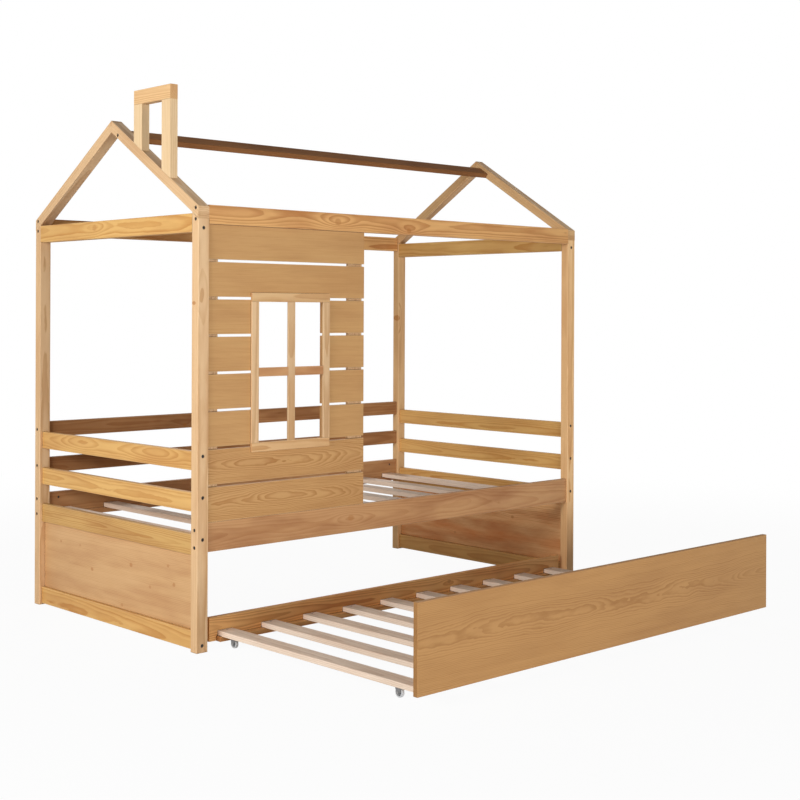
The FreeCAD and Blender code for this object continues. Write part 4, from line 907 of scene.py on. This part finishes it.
class HOUSEBED_OT_casters(bpy.types.Operator):
    """Build the forks and the ribbed wheels of the four casters"""
    bl_idname = "house_bed.casters"
    bl_label = "Casters"

    def execute(self, context):
        values = settings("casters")
        sheet = plain_material("caster_sheet", values.sheet_grey, 0.4, metallic=0.55, grain=0.3)
        plastic = plain_material("wheel_plastic", values.wheel_grey, 0.38, grain=0.15)
        forks = bmesh.new()
        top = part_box("caster_forks")[1].z
        for side in SIDES:
            for end in ENDS:
                node = f"caster_wheel_{side}_{end}"
                low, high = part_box(node)
                middle = (low + high) / 2
                fork_mesh(forks, middle.x, middle.y, values, top)
                wheel = bmesh.new()
                wheel_mesh(wheel, middle, values)
                piece = mesh_piece(f"ribbed_wheel_{side}_{end}", wheel, plastic,
                                   f"wheel_{side}_{end}", node)
                bevelled(piece, 0.0003, 2)
        piece = mesh_piece("bent_forks", forks, sheet, "trundle", "caster_forks")
        bevelled(piece, 0.0004, 2)
        return {"FINISHED"}


class HOUSEBED_OT_camera(bpy.types.Operator):
    """Set the camera where the photograph was taken"""
    bl_idname = "house_bed.camera"
    bl_label = "Camera"

    def execute(self, context):
        values = settings("camera")
        data = bpy.data.cameras.new("photo_camera")
        data.sensor_width = 36
        data.lens = values.lens
        data.shift_x, data.shift_y = values.shift
        camera = bpy.data.objects.new("photo_camera", data)
        camera.location = values.place
        level = Euler((radians(90), 0, -values.turn)).to_matrix()
        camera.rotation_euler = (level @ Matrix.Rotation(values.roll, 3, "Z")).to_euler()
        context.scene.collection.objects.link(camera)
        context.scene.camera = camera
        return {"FINISHED"}


class HOUSEBED_OT_stage(bpy.types.Operator):
    """Build the pale floor, the white surroundings and the soft studio lights"""
    bl_idname = "house_bed.stage"
    bl_label = "Stage"

    def execute(self, context):
        values = settings("stage")
        self.make_floor(context, values)
        self.make_world(context, values)
        for name, place in SOFTBOXES.items():
            self.make_softbox(context, name, getattr(values, name), place, values)
        context.scene.view_settings.view_transform = "Standard"
        return {"FINISHED"}

    def seen(self, t):
        """1 where the camera, a reflection or a view through glass looks, and else 0."""
        path = t.node("LightPath").outputs
        seen = t.math("MAXIMUM", path["Is Camera Ray"], path["Is Glossy Ray"])
        return t.math("MAXIMUM", seen, path["Is Transmission Ray"])

    def make_floor(self, context, values):
        """A wide floor that turns white away from the bed."""
        reach = 60
        signs = ((-1, -1), (1, -1), (1, 1), (-1, 1))
        mesh = bmesh.new()
        mesh.faces.new([mesh.verts.new((x * reach, y * reach, 0)) for x, y in signs])
        data = bpy.data.meshes.new("studio_floor")
        mesh.to_mesh(data)
        mesh.free()
        material, t = empty_material("studio_floor")
        diffuse = t.node("BsdfDiffuse", {"Color": values.floor})
        white = t.node("Emission", {"Color": (1, 1, 1, 1), "Strength": 1.0})
        away = t.vector("LENGTH", t.node("TexCoord").outputs["Object"])
        glow = t.smooth(away, values.clear_start, values.clear_end, values.floor_glow, 1.0)
        factor = t.math("MULTIPLY", self.seen(t), glow)
        mixed = t.node("MixShader", {0: factor, 1: diffuse.outputs[0], 2: white.outputs[0]})
        show(t, mixed)
        # Its white is only for the eye, so it lights nothing
        material.cycles.emission_sampling = "NONE"
        data.materials.append(material)
        floor = bpy.data.objects.new("studio_floor", data)
        context.scene.collection.objects.link(floor)

    def make_world(self, context, values):
        """Dim even light from the room, which the camera sees as white."""
        world = bpy.data.worlds.new("studio")
        world.use_nodes = True
        world.node_tree.nodes.clear()
        t = Tree(world.node_tree)
        up = t.split(t.node("TexCoord").outputs["Generated"])[2]
        strength = t.smooth(up, 0.0, 0.8, values.room_light, values.ceiling_light)
        room = t.node("Background", {"Color": (1, 1, 1, 1), "Strength": strength})
        white = t.node("Background", {"Color": (1, 1, 1, 1), "Strength": 1.0})
        mixed = t.node("MixShader", {0: self.seen(t), 1: room.outputs[0], 2: white.outputs[0]})
        t.put(t.node("OutputWorld").inputs["Surface"], mixed.outputs[0])
        # The room is even, so rays that reach it by chance are enough
        world.cycles.sampling_method = "NONE"
        context.scene.world = world

    def make_softbox(self, context, name, power, place, values):
        """One soft lamp that faces the bed and that the camera can't see."""
        data = bpy.data.lights.new(name, "AREA")
        data.energy = power
        data.shape = "RECTANGLE"
        data.size = values.softbox_width
        data.size_y = values.softbox_height
        light = bpy.data.objects.new(name, data)
        light.location = place
        light.rotation_euler = (LIGHT_TARGET - Vector(place)).to_track_quat("-Z", "Y").to_euler()
        light.visible_camera = False
        context.scene.collection.objects.link(light)


OPERATORS = (
    HOUSEBED_OT_shared_grain, HOUSEBED_OT_posts, HOUSEBED_OT_roof, HOUSEBED_OT_long_rails,
    HOUSEBED_OT_ends, HOUSEBED_OT_board_wall, HOUSEBED_OT_window, HOUSEBED_OT_chimney,
    HOUSEBED_OT_slats, HOUSEBED_OT_trundle, HOUSEBED_OT_fasteners, HOUSEBED_OT_casters,
    HOUSEBED_OT_camera, HOUSEBED_OT_stage,
)


class HOUSEBED_PT_panel(bpy.types.Panel):
    """Lists the steps that dress the bed"""
    bl_idname = "HOUSEBED_PT_panel"
    bl_label = "House Bed"
    bl_space_type = "VIEW_3D"
    bl_region_type = "UI"
    bl_category = "House Bed"

    def draw(self, context):
        column = self.layout.column(align=True)
        for operator in OPERATORS:
            column.operator(operator.bl_idname)
        for group in SETTINGS:
            values = settings(group)
            box = self.layout.box()
            box.label(text=group.capitalize())
            for name in values.__annotations__:
                box.prop(values, name)


def register():
    """Register the settings, the operators and the panel."""
    for name, group in SETTINGS.items():
        bpy.utils.register_class(group)
        setattr(bpy.types.Scene, "house_bed_" + name, PointerProperty(type=group))
    for item in (*OPERATORS, HOUSEBED_PT_panel):
        bpy.utils.register_class(item)


def unregister():
    """Take back what register() added."""
    for item in reversed((*OPERATORS, HOUSEBED_PT_panel)):
        bpy.utils.unregister_class(item)
    for name, group in SETTINGS.items():
        delattr(bpy.types.Scene, "house_bed_" + name)
        bpy.utils.unregister_class(group)


def main():
    """Dress the whole bed."""
    register()
    for operator in OPERATORS:
        area, name = operator.bl_idname.split(".")
        getattr(getattr(bpy.ops, area), name)()


if __name__ == "__main__":
    main()
